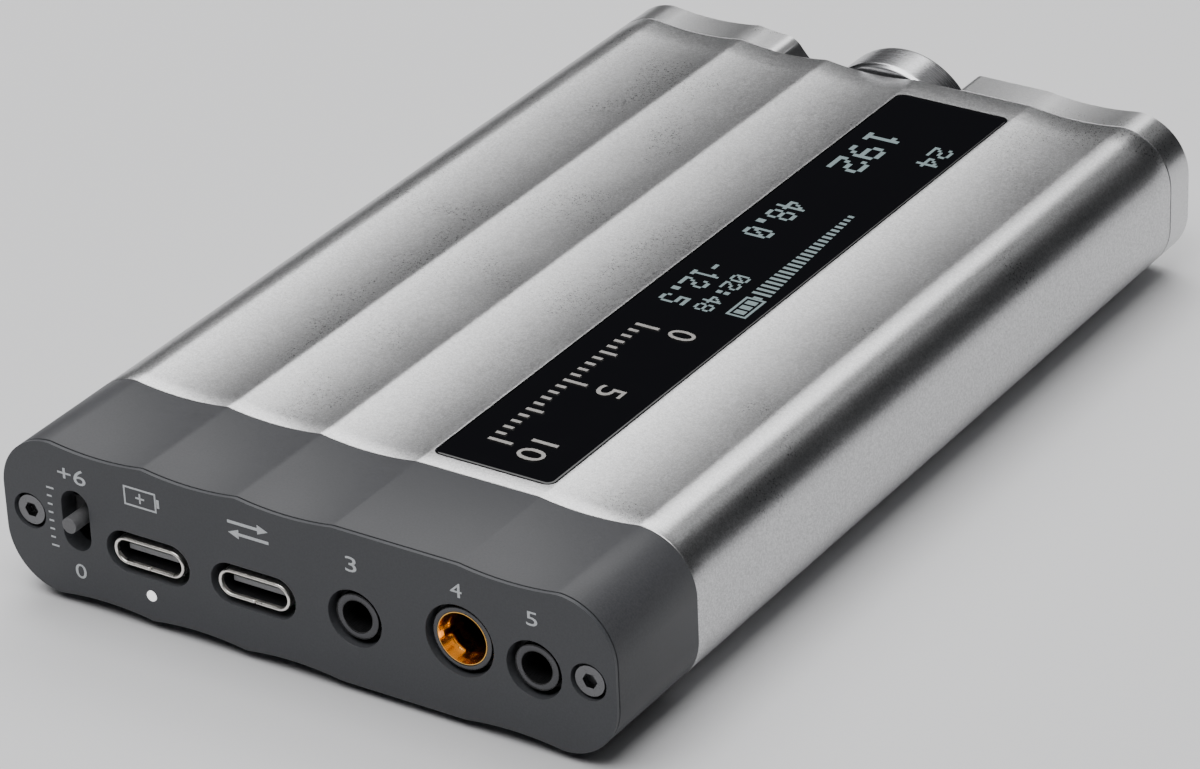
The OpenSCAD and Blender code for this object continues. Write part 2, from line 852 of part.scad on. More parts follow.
// A turned disc with chamfered rims, hollow at the back over the nut
module volume_knob() {
    c = knob_chamfer;
    color(silver) translate([0, knob_front_y, mid_z]) rotate([-90, 0, 0]) difference() {
        rotate_extrude($fn = 180) polygon([
            [0, 0], [knob_r - c, 0], [knob_r, c], [knob_r, knob_t - c], [knob_r - c, knob_t], [0, knob_t]]);
        translate([0, 0, knob_t - nut_hollow_t]) cylinder(h = nut_hollow_t + eps, r = nut_hollow_r);
        translate([0, 0, knob_bore_y - knob_front_y]) cylinder(h = knob_t, r = shaft_r + 0.01);
    }
}

// ---- fasteners and feet ----

// A hex socket screw whose head faces -Y, with the top of its head at y = 0
module screw(shank_len) {
    rotate([-90, 0, 0]) difference() {
        union() {
            cylinder(h = head_h, r = head_r);
            cylinder(h = head_h + shank_len, r = shank_r);
        }
        translate([0, 0, -eps]) cylinder(h = hex_depth + eps, r = hex_w / sqrt(3), $fn = 6);
    }
}

module rear_screws() {
    shank_len = plate_t - counterbore_depth + band_len + screw_bite;
    color("#2c2c2e") for (sx = [-1, 1])
        translate([sx * screw_x, rear_y - head_set_back, mid_z]) rotate([0, 0, 180]) screw(shank_len);
}

module front_screws() {
    shank_len = cap_len - counterbore_depth + screw_bite;
    color("#2c2c2e") for (sx = [-1, 1])
        translate([sx * screw_x, front_y + head_set_back, mid_z]) screw(shank_len);
}

module foot_places() {
    for (x = [-foot_x, foot_x], y = [foot_front_y, foot_rear_y]) translate([x, y, 0]) children();
}

module rubber_feet() {
    color("#1a1a1b") foot_places() cylinder(h = foot_h + foot_seat, r = foot_r);
}

body_sleeve();
rear_band();
rear_plate();
front_cap();
display_glass();
display_module();
display_ribbon();
main_board();
front_board();
board_connector();
shield_can();
main_chips();
capacitors();
radio_module();
radio_antenna();
battery_cell();
battery_tape();
battery_lead();
charge_socket_shell();
charge_socket_tongue();
data_socket_shell();
data_socket_tongue();
digital_jack();
line_jack();
balanced_line_jack();
balanced_line_contact();
headphone_jack();
balanced_headphone_jack();
balanced_headphone_contact();
tone_switch_housing();
tone_switch_lever();
gain_switch_housing();
gain_switch_lever();
charge_light_pipe();
status_light_pipes();
indicator_lamps();
menu_button();
input_button();
button_switches();
encoder_body();
encoder_nut();
encoder_plunger();
encoder_spring();
knob_shaft();
volume_knob();
rear_screws();
front_screws();
rubber_feet();
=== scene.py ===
# Pocket DAC and headphone amplifier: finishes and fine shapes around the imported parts.
# Lengths are in millimetres here and go into the meshes in metres.
import math

import bmesh
import bpy
import numpy as np
from mathutils import Matrix, Quaternion, Vector


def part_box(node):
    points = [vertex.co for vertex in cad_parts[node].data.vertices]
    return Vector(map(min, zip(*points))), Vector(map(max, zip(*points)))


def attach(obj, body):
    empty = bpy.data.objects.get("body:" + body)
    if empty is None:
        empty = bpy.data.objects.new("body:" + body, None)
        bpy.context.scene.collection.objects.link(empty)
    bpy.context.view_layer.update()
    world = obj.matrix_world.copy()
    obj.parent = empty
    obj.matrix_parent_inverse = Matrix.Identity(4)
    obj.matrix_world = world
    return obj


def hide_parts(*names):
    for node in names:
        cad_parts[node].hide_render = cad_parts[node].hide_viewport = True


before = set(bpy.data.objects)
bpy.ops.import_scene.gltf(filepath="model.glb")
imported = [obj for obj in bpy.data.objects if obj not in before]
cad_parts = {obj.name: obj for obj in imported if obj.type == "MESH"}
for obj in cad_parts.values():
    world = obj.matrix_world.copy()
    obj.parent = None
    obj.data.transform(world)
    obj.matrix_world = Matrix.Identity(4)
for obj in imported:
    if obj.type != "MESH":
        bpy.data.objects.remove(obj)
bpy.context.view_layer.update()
mm = 0.001


def boxOf(node):
    # lowest and highest corner of a part, in mm
    low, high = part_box(node)
    return np.array(low) / mm, np.array(high) / mm


sleeveLow, sleeveHigh = boxOf("body_sleeve")
plateLow, plateHigh = boxOf("rear_plate")
capLow, capHigh = boxOf("front_cap")
bandLow, bandHigh = boxOf("rear_band")
glassLow, glassHigh = boxOf("display_glass")
halfWidth = sleeveHigh[0]
halfHeight = (sleeveHigh[2] - sleeveLow[2]) / 2
midZ = (sleeveHigh[2] + sleeveLow[2]) / 2
seamY, bandY, rearY, frontY = sleeveLow[1], sleeveHigh[1], plateHigh[1], capLow[1]

# ---------- camera, floor and lights ----------

cameraSetup = {
    "position": (-268.4, 405.6, 270.2),
    "lookingAt": (-2.9, 9.8, 10.0),
    "roll": -2.53,       # degrees about the line of sight
    "lens": 152.2,
}


def makeCamera(setup):
    camera = bpy.data.objects.new("camera", bpy.data.cameras.new("camera"))
    bpy.context.scene.collection.objects.link(camera)
    camera.data.lens = setup["lens"]
    camera.data.clip_start, camera.data.clip_end = 0.01, 20
    position, target = Vector(setup["position"]) * mm, Vector(setup["lookingAt"]) * mm
    turn = (target - position).to_track_quat("-Z", "Y")
    roll = Quaternion((0, 0, 1), math.radians(setup["roll"]))
    camera.matrix_world = Matrix.Translation(position) @ (turn @ roll).to_matrix().to_4x4()
    bpy.context.scene.camera = camera


makeCamera(cameraSetup)

studio = {
    "floorColour": (0.72, 0.72, 0.73),
    "floorSize": 6.0,    # metres
    "worldColour": (0.017, 0.018, 0.020),
    # each softbox: heading (degrees from +X), height above the horizon, distance, width, tall, watts
    "softboxes": {
        "key": (-55, 50, 1.3, 1.2, 0.66, 10.2),
        "shoulder": (-114, 44, 1.5, 0.4, 0.3, 0.42),
        "rear": (86, 58, 1.6, 1.2, 0.6, 9),
        "side": (168, 52, 1.7, 0.7, 0.5, 1.0),
        "overhead": (90, 84, 1.7, 1.5, 1.5, 27),
    },
}


def makeSoftbox(name, heading, height, distance, width, tall, watts):
    light = bpy.data.lights.new(name, "AREA")
    light.shape, light.size, light.size_y, light.energy = "RECTANGLE", width, tall, watts
    h, e = math.radians(heading), math.radians(height)
    out = Vector((math.cos(h) * math.cos(e), math.sin(h) * math.cos(e), math.sin(e)))
    lamp = bpy.data.objects.new(name, light)
    lamp.matrix_world = Matrix.Translation(out * distance) @ (-out).to_track_quat("-Z", "Y").to_matrix().to_4x4()
    bpy.context.scene.collection.objects.link(lamp)


def makeStudio(setup):
    for name, numbers in setup["softboxes"].items():
        makeSoftbox(name, *numbers)
    world = bpy.data.worlds.new("studio")
    world.use_nodes = True
    world.node_tree.nodes["Background"].inputs["Color"].default_value = (*setup["worldColour"], 1)
    bpy.context.scene.world = world
    half = setup["floorSize"] / 2
    mesh = bpy.data.meshes.new("floor")
    mesh.from_pydata([(-half, -half, 0), (half, -half, 0), (half, half, 0), (-half, half, 0)], [], [(0, 1, 2, 3)])
    floor = bpy.data.objects.new("floor", mesh)
    bpy.context.scene.collection.objects.link(floor)
    paint = bpy.data.materials.new("floorPaint")
    paint.use_nodes = True
    shader = paint.node_tree.nodes["Principled BSDF"]
    shader.inputs["Base Color"].default_value = (*setup["floorColour"], 1)
    shader.inputs["Roughness"].default_value = 0.7
    mesh.materials.append(paint)


makeStudio(studio)
print("camera, floor and lights ready")

# ---------- finishes ----------


class Finish:
    # a material under construction: its node tree, its shader and its object coordinates

    def __init__(self, name, colour, **sockets):
        self.material = bpy.data.materials.new(name)
        self.material.use_nodes = True
        self.tree = self.material.node_tree
        self.shader = self.tree.nodes["Principled BSDF"]
        self.place = self.add("ShaderNodeTexCoord").outputs["Object"]
        self.shader.inputs["Base Color"].default_value = (*colour, 1)
        for socket, value in sockets.items():
            self.shader.inputs[socket.replace("_", " ")].default_value = value

    def add(self, kind, **settings):
        node = self.tree.nodes.new(kind)
        for key, value in settings.items():
            setattr(node, key, value)
        return node

    def feed(self, node, **values):
        # an input takes a number, or the output of another node
        for key, value in values.items():
            socket = node.inputs[int(key[1:])] if key[0] == "i" and key[1:].isdigit() else node.inputs[key.replace("_", " ")]
            if isinstance(value, bpy.types.NodeSocket):
                self.tree.links.new(value, socket)
            else:
                socket.default_value = value
        return node

    def noise(self, size, detail=2.0, rough=0.5, place=None):
        # size is that of one blotch or grain, in mm
        node = self.feed(self.add("ShaderNodeTexNoise"), Scale=1 / (size * mm), Detail=detail, Roughness=rough)
        self.tree.links.new(place or self.place, node.inputs["Vector"])
        return node.outputs["Fac"]

    def cells(self, size):
        node = self.feed(self.add("ShaderNodeTexVoronoi"), Scale=1 / (size * mm), Vector=self.place)
        return node

    def spread(self, value, fromLow, fromHigh, low, high):
        node = self.feed(self.add("ShaderNodeMapRange"), Value=value, From_Min=fromLow, From_Max=fromHigh, To_Min=low, To_Max=high)
        return node.outputs["Result"]

    def mix(self, share, colourA, colourB):
        node = self.add("ShaderNodeMix", data_type="RGBA")
        self.feed(node, i0=share)
        for index, colour in ((6, colourA), (7, colourB)):
            if isinstance(colour, bpy.types.NodeSocket):
                self.tree.links.new(colour, node.inputs[index])
            else:
                node.inputs[index].default_value = (*colour, 1)
        return node.outputs[2]

    def sum(self, operation, a, b):
        return self.feed(self.add("ShaderNodeMath", operation=operation), i0=a, i1=b).outputs[0]

    def bump(self, height, depth, strength=1.0, under=None):
        # depth is the relief in mm
        node = self.feed(self.add("ShaderNodeBump"), Height=height, Distance=depth * mm, Strength=strength)
        if under:
            self.tree.links.new(under, node.inputs["Normal"])
        return node.outputs["Normal"]

    def set(self, **sockets):
        self.feed(self.shader, **sockets)
        return self


blasted = {"grain": 0.13, "relief": 0.0045, "rough": (0.28, 0.34), "bright": (0.63, 0.63, 0.635), "dull": (0.42, 0.42, 0.425)}


def blastedAluminium(name, look):
    # bead-blasted and anodised: tiny dents, some grains brighter, a faint cloudiness
    f = Finish(name, look["bright"], Metallic=1.0)
    grain = f.noise(look["grain"], 1.0, 0.5)
    coarse = f.noise(look["grain"] * 2.7, 1.0)
    cloud = f.noise(14.0, 2.0)
    both = f.sum("ADD", f.sum("MULTIPLY", grain, 0.65), f.sum("MULTIPLY", coarse, 0.35))
    colour = f.mix(f.spread(both, 0.38, 0.62, 0.0, 1.0), look["dull"], look["bright"])
    rough = f.sum("ADD", f.spread(both, 0.35, 0.65, *look["rough"]), f.spread(cloud, 0.3, 0.7, -0.015, 0.015))
    return f.set(Base_Color=colour, Roughness=rough, Normal=f.bump(both, look["relief"])).material


charcoal = {"grain": 0.22, "relief": 0.004, "rough": (0.40, 0.50), "light": (0.062, 0.063, 0.068), "dark": (0.046, 0.047, 0.051), "gloss": 0.3}


def charcoalSatin(name, look):
    # fine spark-eroded texture on dark plastic or powder coat
    f = Finish(name, look["light"])
    f.shader.inputs["Specular IOR Level"].default_value = look.get("gloss", 0.5)
    grain = f.noise(look["grain"], 3.0, 0.6)
    cloud = f.noise(9.0, 2.0)
    colour = f.mix(f.spread(grain, 0.35, 0.65, 0.0, 1.0), look["dark"], look["light"])
    rough = f.sum("ADD", f.spread(grain, 0.35, 0.65, *look["rough"]), f.spread(cloud, 0.3, 0.7, -0.02, 0.02))
    return f.set(Base_Color=colour, Roughness=rough, Normal=f.bump(grain, look["relief"])).material


def turnedMetal(name, colour, centre, ringPitch, relief, rough):
    # lathe marks: rings about the axis along Y through centre, on the faces and round the rim
    f = Finish(name, colour, Metallic=1.0)
    shift = f.feed(f.add("ShaderNodeMapping"), Vector=f.place, Location=tuple(-c * mm for c in centre))
    parts = f.feed(f.add("ShaderNodeSeparateXYZ"), Vector=shift.outputs[0])
    x, y, z = parts.outputs
    radius = f.sum("SQRT", f.sum("ADD", f.sum("MULTIPLY", x, x), f.sum("MULTIPLY", z, z)), 0.0)
    across = f.sum("ADD", radius, f.sum("MULTIPLY", y, 1.7))
    rings = f.feed(f.add("ShaderNodeTexNoise", noise_dimensions="1D"), W=across, Scale=1 / (ringPitch * mm), Detail=4.0, Roughness=0.7)
    streak = rings.outputs["Fac"]
    grain = f.noise(0.25, 2.0)
    lines = f.sum("ADD", f.sum("MULTIPLY", streak, 0.85), f.sum("MULTIPLY", grain, 0.15))
    tint = f.mix(f.spread(lines, 0.3, 0.7, 0.0, 1.0), tuple(0.82 * c for c in colour), colour)
    return f.set(Base_Color=tint, Roughness=f.spread(lines, 0.3, 0.7, rough - 0.06, rough + 0.06),
                 Normal=f.bump(lines, relief)).material


def platedMetal(name, colour, rough, grain=0.5, relief=0.0006):
    # nickel, gold or black oxide: nearly smooth, with faint handling marks
    f = Finish(name, colour, Metallic=1.0)
    marks = f.noise(grain, 4.0, 0.7)
    tint = f.mix(f.spread(marks, 0.3, 0.7, 0.0, 1.0), tuple(0.86 * c for c in colour), colour)
    return f.set(Base_Color=tint, Roughness=f.spread(marks, 0.3, 0.7, rough, rough * 1.5 + 0.02),
                 Normal=f.bump(marks, relief)).material


def mouldedPlastic(name, colour, rough, grain=0.3, relief=0.002):
    f = Finish(name, colour)
    skin = f.noise(grain, 3.0, 0.6)
    tint = f.mix(f.spread(skin, 0.3, 0.7, 0.0, 1.0), tuple(0.8 * c for c in colour), colour)
    return f.set(Base_Color=tint, Roughness=f.spread(skin, 0.3, 0.7, rough - 0.05, rough + 0.07),
                 Normal=f.bump(skin, relief)).material


def polishedGlass(name):
    # black glass with a breath of fingerprints
    f = Finish(name, (0.004, 0.004, 0.005))
    f.shader.inputs["Specular IOR Level"].default_value = 0.3
    smear = f.noise(6.0, 5.0, 0.65)
    return f.set(Roughness=f.spread(smear, 0.42, 0.75, 0.04, 0.075), Normal=f.bump(f.noise(11.0, 1.0), 0.0012)).material


def litFigures(name, colour, power, dotPitch):
    # lit dots of the screen: the light is cut by the thin dark lines between the dots
    f = Finish(name, (0.02, 0.022, 0.024), Roughness=0.4, Emission_Strength=power)
    parts = f.feed(f.add("ShaderNodeSeparateXYZ"), Vector=f.place)
    lines = []
    for axis in (0, 1):
        turn = f.sum("FRACT", f.sum("MULTIPLY", parts.outputs[axis], 1 / (dotPitch * mm)), 0.0)
        lines.append(f.sum("GREATER_THAN", turn, 0.16))
    lit = f.sum("MULTIPLY", lines[0], lines[1])
    drift = f.spread(f.noise(2.5, 2.0), 0.3, 0.7, 0.86, 1.0)
    glow = f.mix(f.sum("MULTIPLY", lit, drift), tuple(0.45 * c for c in colour), colour)
    return f.set(Emission_Color=glow).material


def glowingPipe(name, colour, power):
    f = Finish(name, (0.8, 0.8, 0.8), Roughness=0.35, Emission_Strength=power)
    milky = f.noise(0.3, 2.0)
    return f.set(Emission_Color=f.mix(milky, tuple(0.8 * c for c in colour), colour)).material


def printedInk(name, colour):
    # pad print: matt, a little uneven
    f = Finish(name, colour)
    cover = f.noise(0.12, 3.0, 0.7)
    tint = f.mix(f.spread(cover, 0.3, 0.62, 0.0, 1.0), tuple(0.72 * c for c in colour), colour)
    return f.set(Base_Color=tint, Roughness=f.spread(cover, 0.3, 0.7, 0.5, 0.65)).material


def circuitBoard(name):
    # solder mask over copper tracks: the tracks are the edges of cells
    f = Finish(name, (0.01, 0.06, 0.035), Roughness=0.35)
    cell = f.feed(f.add("ShaderNodeTexVoronoi", feature="DISTANCE_TO_EDGE"),
                  Vector=f.place, Scale=1 / (2.2 * mm))
    track = f.spread(cell.outputs["Distance"], 0.04, 0.09, 1.0, 0.0)
    tint = f.mix(track, (0.008, 0.05, 0.03), (0.03, 0.13, 0.07))
    return f.set(Base_Color=tint, Normal=f.bump(track, 0.03)).material


def wrappedFoil(name, colour):
    f = Finish(name, colour, Metallic=0.6)
    crease = f.noise(3.5, 4.0, 0.6)
    return f.set(Roughness=f.spread(crease, 0.3, 0.7, 0.3, 0.5), Normal=f.bump(crease, 0.12)).material


knobLow, knobHigh = boxOf("volume_knob")
finishes = {
    "silverSleeve": blastedAluminium("silverSleeve", blasted),
    "silverCap": blastedAluminium("silverCap", {**blasted, "grain": 0.12, "relief": 0.0025, "rough": (0.28, 0.32), "dull": (0.54, 0.54, 0.545)}),
    "charcoalBand": charcoalSatin("charcoalBand", charcoal),
    "charcoalPlate": charcoalSatin("charcoalPlate", {**charcoal, "light": (0.064, 0.066, 0.072), "dark": (0.053, 0.055, 0.060), "relief": 0.002}),
    "knobMetal": turnedMetal("knobMetal", (0.6, 0.6, 0.615), (0, knobLow[1], midZ), 0.16, 0.006, 0.26),
    "blackGlass": polishedGlass("blackGlass"),
    "raisedChrome": platedMetal("raisedChrome", (0.3, 0.29, 0.28), 0.34),
    "screenLight": litFigures("screenLight", (0.42, 0.60, 0.62), 0.55, 0.175),
    "nickel": platedMetal("nickel", (0.92, 0.89, 0.84), 0.25, 1.0),
    "ringMetal": platedMetal("ringMetal", (0.095, 0.095, 0.1), 0.2, 2.0, 0.0004),
    "gold": platedMetal("gold", (0.95, 0.52, 0.12), 0.14),
    "blackSteel": platedMetal("blackSteel", (0.17, 0.17, 0.175), 0.24, 0.7, 0.001),
    "blackPlastic": mouldedPlastic("blackPlastic", (0.012, 0.012, 0.013), 0.42),
    "greyPlastic": mouldedPlastic("greyPlastic", (0.13, 0.13, 0.135), 0.4),
    "tonguePlastic": mouldedPlastic("tonguePlastic", (0.30, 0.30, 0.31), 0.35),
    "footRubber": mouldedPlastic("footRubber", (0.02, 0.02, 0.021), 0.75, 0.2, 0.006),
    "clearPlastic": mouldedPlastic("clearPlastic", (0.75, 0.77, 0.78), 0.25),
    "copperFilm": mouldedPlastic("copperFilm", (0.45, 0.2, 0.06), 0.3),
    "ink": printedInk("ink", (0.62, 0.64, 0.66)),
    "chargeGlow": glowingPipe("chargeGlow", (1.0, 1.0, 1.0), 1.1),
    "statusGlow": glowingPipe("statusGlow", (0.75, 0.85, 1.0), 0.35),
    "board": circuitBoard("board"),
    "batteryFoil": wrappedFoil("batteryFoil", (0.42, 0.43, 0.45)),
}
print("finishes made:", len(finishes))

# ---------- surfaces ----------


def gridFaces(rowCount, columnCount, wrapRows=False, wrapColumns=False):
    # four neighbours of the grid make one face; a wrapped side joins its last line to its first
    i = np.arange(rowCount if wrapRows else rowCount - 1)
    j = np.arange(columnCount if wrapColumns else columnCount - 1)
    a, b = np.meshgrid(i, j, indexing="ij")
    c, d = (a + 1) % rowCount, (b + 1) % columnCount
    corners = np.stack([a * columnCount + b, c * columnCount + b, c * columnCount + d, a * columnCount + d], -1)
    return corners.reshape(-1, 4).tolist()


def tidyMesh(mesh, sharpAngle):
    # joins equal points, turns the faces outward and keeps the edges above the angle sharp
    work = bmesh.new()
    work.from_mesh(mesh)
    bmesh.ops.remove_doubles(work, verts=work.verts, dist=4e-7)
    bmesh.ops.dissolve_degenerate(work, edges=work.edges, dist=2e-7)
    bmesh.ops.recalc_face_normals(work, faces=work.faces)
    work.to_mesh(mesh)
    work.free()
    mesh.shade_smooth()
    mesh.set_sharp_from_angle(angle=math.radians(sharpAngle))


def addPiece(name, parts, finish, body="case", stands=(), sharpAngle=35, shared=None, cutters=()):
    # parts is a list of (points in mm, faces); shared gives each part's material number
    mesh = bpy.data.meshes.new(name)
    offsets = np.cumsum([0] + [len(points) for points, faces in parts])
    points = np.concatenate([points for points, faces in parts]) * mm
    faces = [[corner + shift for corner in face] for (p, fs), shift in zip(parts, offsets) for face in fs]
    mesh.from_pydata(points.tolist(), [], faces)
    names = [finish] if isinstance(finish, str) else finish
    for one in names:
        mesh.materials.append(finishes[one])
    if shared:
        numbers = np.repeat(shared, [len(fs) for p, fs in parts]).astype(np.int32)
        mesh.polygons.foreach_set("material_index", numbers)
    tidyMesh(mesh, sharpAngle)
    if cutters:
        mesh = carved(mesh, cutters)
        mesh.name = name
        tidyMesh(mesh, sharpAngle)
    piece = bpy.data.objects.new(name, mesh)
    bpy.context.scene.collection.objects.link(piece)
    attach(piece, body)
    if stands:
        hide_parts(*stands)
    return piece


def carved(mesh, cutters):
    # the mesh less the cutters, each given as (points in mm, faces)
    whole = bpy.data.objects.new("whole", mesh)
    bpy.context.scene.collection.objects.link(whole)
    tools = []
    for points, faces in cutters:
        shape = bpy.data.meshes.new("cutter")
        shape.from_pydata((np.array(points) * mm).tolist(), [], faces)
        tidyMesh(shape, 30)
        tools.append(bpy.data.objects.new("cutter", shape))
        bpy.context.scene.collection.objects.link(tools[-1])
        cut = whole.modifiers.new("cut", "BOOLEAN")
        cut.object, cut.operation, cut.solver = tools[-1], "DIFFERENCE", "EXACT"
    result = bpy.data.meshes.new_from_object(whole.evaluated_get(bpy.context.evaluated_depsgraph_get()))
    for one in [whole] + tools:
        spent = one.data
        bpy.data.objects.remove(one)
        bpy.data.meshes.remove(spent)
    return result


def roundSteps(radius, count):
    # a quarter circle from the end face to the side: how far along, and how far inside
    a = np.linspace(0, math.pi / 2, count)
    return radius * (1 - np.cos(a)), radius * (1 - np.sin(a))


def lathe(profile, centre, turns=96, toward=1):
    # profile [radius, y] turned about the Y axis through centre: x = r cos t, z = r sin t
    t = np.linspace(0, 2 * math.pi, turns, endpoint=False)
    r, y = np.array(profile, float).T
    x = centre[0] + np.outer(r, np.cos(t))
    z = centre[2] + np.outer(r, np.sin(t))
    yy = centre[1] + toward * np.repeat(y[:, None], turns, 1)
    closedProfile = r[0] > 0
    return np.stack([x, yy, z], -1).reshape(-1, 3), gridFaces(len(r), turns, closedProfile, True)


def capsulePath(halfLong, halfShort, arcPoints=14, flatPoints=()):
    # points and outward normals of a flat bar with round ends, its long side along X
    a = np.linspace(-math.pi / 2, math.pi / 2, arcPoints)
    straight = halfLong - halfShort
    right = np.stack([straight + halfShort * np.cos(a), halfShort * np.sin(a)], -1)
    left = -right
    flats = np.array([[x, -halfShort] for x in flatPoints]).reshape(-1, 2)
    path = np.concatenate([flats, right, left])
    core = np.stack([np.clip(path[:, 0], -straight, straight), np.zeros(len(path))], -1)
    away = (path - core) / np.linalg.norm(path - core, axis=1)[:, None]
    return path, away


def roundedPath(halfX, halfY, radius, arcPoints=10):
    # points and outward normals of a rectangle with round corners, anticlockwise
    a = np.linspace(0, math.pi / 2, arcPoints)
    corners = [(1, 1, 0), (-1, 1, 1), (-1, -1, 2), (1, -1, 3)]
    path, away = [], []
    for sx, sy, quarter in corners:
        t = a + quarter * math.pi / 2
        n = np.stack([np.cos(t), np.sin(t)], -1)
        path.append(np.array([sx * (halfX - radius), sy * (halfY - radius)]) + radius * n)
        away.append(n)
    return np.concatenate(path), np.concatenate(away)


def prism(corners, origin, across, up, depth, soft=0.0):
    # a flat shape given by its corners, raised by depth; soft draws the raised side in toward the middle
    across, up = np.array(across, float), np.array(up, float)
    corners = np.array(corners, float)
    n = len(corners)
    towardMiddle = corners.mean(0) - corners
    inner = corners + soft * towardMiddle / np.linalg.norm(towardMiddle, axis=1)[:, None]
    flat = np.concatenate([corners, inner])
    lift = np.repeat([0, depth], n)[:, None]
    points = np.array(origin) + flat[:, :1] * across + flat[:, 1:] * up + lift * np.cross(across, up)
    sides = [[i, (i + 1) % n, (i + 1) % n + n, i + n] for i in range(n)]
    return points, sides + [list(range(n))[::-1], list(range(n, 2 * n))]


# ---------- body: sleeve and band ----------

bodyShape = {
    "cornerRadius": 6.5,
    "waveRadius": 36.0,
    "wideWaves": 3,
    "stripMargin": 0.3,      # flat metal beside the glass
    "crestSoftness": 0.55,   # half width of the rounding over a crest
    "stripSoftness": 0.14,   # the same beside the glass
    "finest": 0.14,          # spacing of points in tight curves
    "coarsest": 0.75,        # and on flats
    "wall": 1.5,
}


def bodyOutline(shape):
    # Height over X: the half height less, for each hollow, sqrt(R^2 - (x - c)^2) - sqrt(R^2 - w^2 / 4) where that is
    # positive; the corners are quarter circles; the lower side is the upper one mirrored.
    # Crests are softened by a running mean along the outline. Returns places [x, z] from the middle, and normals.
    R, corner = shape["waveRadius"], shape["cornerRadius"]
    crest = halfWidth - corner
    stripHigh = glassHigh[0] + shape["stripMargin"]
    stripLow = glassLow[0] - shape["stripMargin"]
    wide = (crest - stripHigh) / shape["wideWaves"]
    centres = [stripHigh + (i + 0.5) * wide for i in range(shape["wideWaves"])] + [(stripLow - crest) / 2]
    chords = [wide] * shape["wideWaves"] + [crest + stripLow]
    x = np.linspace(crest, -crest, 6000)
    z = np.full_like(x, halfHeight)
    for c, w in zip(centres, chords):
        z -= np.maximum(0, np.sqrt(np.maximum(R * R - (x - c) ** 2, 0)) - math.sqrt(R * R - w * w / 4))
    a = np.linspace(math.pi / 2, math.pi, 500)
    arc = np.stack([-crest + corner * np.cos(a), halfHeight - corner + corner * np.sin(a)], -1)
    upper = np.concatenate([np.stack([x, z], -1), arc])
    start = (glassHigh[0] + glassLow[0]) / 2
    loop = np.concatenate([upper, (arc * [1, -1])[::-1], np.stack([x, -z], -1)[::-1], arc * [-1, -1], (arc * [-1, 1])[::-1]])
    loop = np.roll(loop, -int(np.argmin(np.abs(upper[:6000, 0] - start))), axis=0)
    steps = np.linalg.norm(np.diff(loop, axis=0, append=loop[:1]), axis=1)
    along = np.concatenate([[0], np.cumsum(steps)])
    count = int(along[-1] / 0.02)
    even = np.arange(count) * along[-1] / count
    dense = np.stack([np.interp(even, along, np.append(loop[:, k], loop[0, k])) for k in (0, 1)], -1)

    def runningMean(halfSpan):
        n = int(halfSpan / 0.02)
        padded = np.concatenate([dense[-n:], dense, dense[:n]])
        kernel = np.bartlett(2 * n + 1) / np.bartlett(2 * n + 1).sum()
        return np.stack([np.convolve(padded[:, k], kernel, "valid") for k in (0, 1)], -1)

    fromStrip = np.minimum(np.abs(dense[:, 0] - stripHigh), np.abs(dense[:, 0] - stripLow))
    share = np.clip((fromStrip - 0.7) / 0.5, 0, 1)[:, None]
    soft = runningMean(shape["crestSoftness"]) * share + runningMean(shape["stripSoftness"]) * (1 - share)
    tangent = np.roll(soft, -3, 0) - np.roll(soft, 3, 0)
    tangent /= np.linalg.norm(tangent, axis=1)[:, None]
    normal = np.stack([-tangent[:, 1], tangent[:, 0]], -1) * -1
    bend = np.linalg.norm(np.roll(tangent, -8, 0) - np.roll(tangent, 8, 0), axis=1) / (16 * even[1])
    spacing = np.clip(shape["coarsest"] * 0.02 / np.maximum(bend, 1e-6), shape["finest"], shape["coarsest"])
    return soft, normal, np.cumsum(even[1] / spacing)


outlinePlaces, outlineNormals, outlineCount = bodyOutline(bodyShape)


def outlineSamples(first, last):
    # columns between two points of the outline, closer together where it bends
    wanted = np.arange(outlineCount[first], outlineCount[last], 1.0)
    picks = np.searchsorted(outlineCount, wanted)
    return outlinePlaces[picks], outlineNormals[picks]


def shellRows(frontY, rearY, frontRound, rearRound, wall, between=()):
    # rows as [y, inset, in the recess, corner offset]: outside from front to rear, then back along the inside
    forward, inside = roundSteps(frontRound, 4)
    backward, insideRear = roundSteps(rearRound, 4)
    rows = [[frontY + a, b, 0, 0] for a, b in zip(forward, inside)]
    rows += list(between)
    rows += [[rearY - a, b, 0, 0] for a, b in zip(backward[::-1], insideRear[::-1])]
    rows += [[rearY, wall, 0, 0], [frontY, wall, 0, 0]]
    return np.array(rows)


def sweptShell(rows, columns, normals):
    # each row is the outline moved inward by its inset: (x, z) = outline - inset * normal, at the row's y
    flat = columns[None] - rows[:, 1, None, None] * normals[None]
    y = np.repeat(rows[:, 0][:, None], len(columns), 1)
    return np.stack([flat[..., 0], y, flat[..., 1] + midZ], -1)


gainSlot = {"length": 5.2, "width": 2.4, "x": 22.0, "y": -30.0}
sleeveShape = {"endRound": 0.3, "recessDepth": 1.25, "recessGap": 0.1, "recessCorner": 1.1, "bandSeamRound": 0.12}


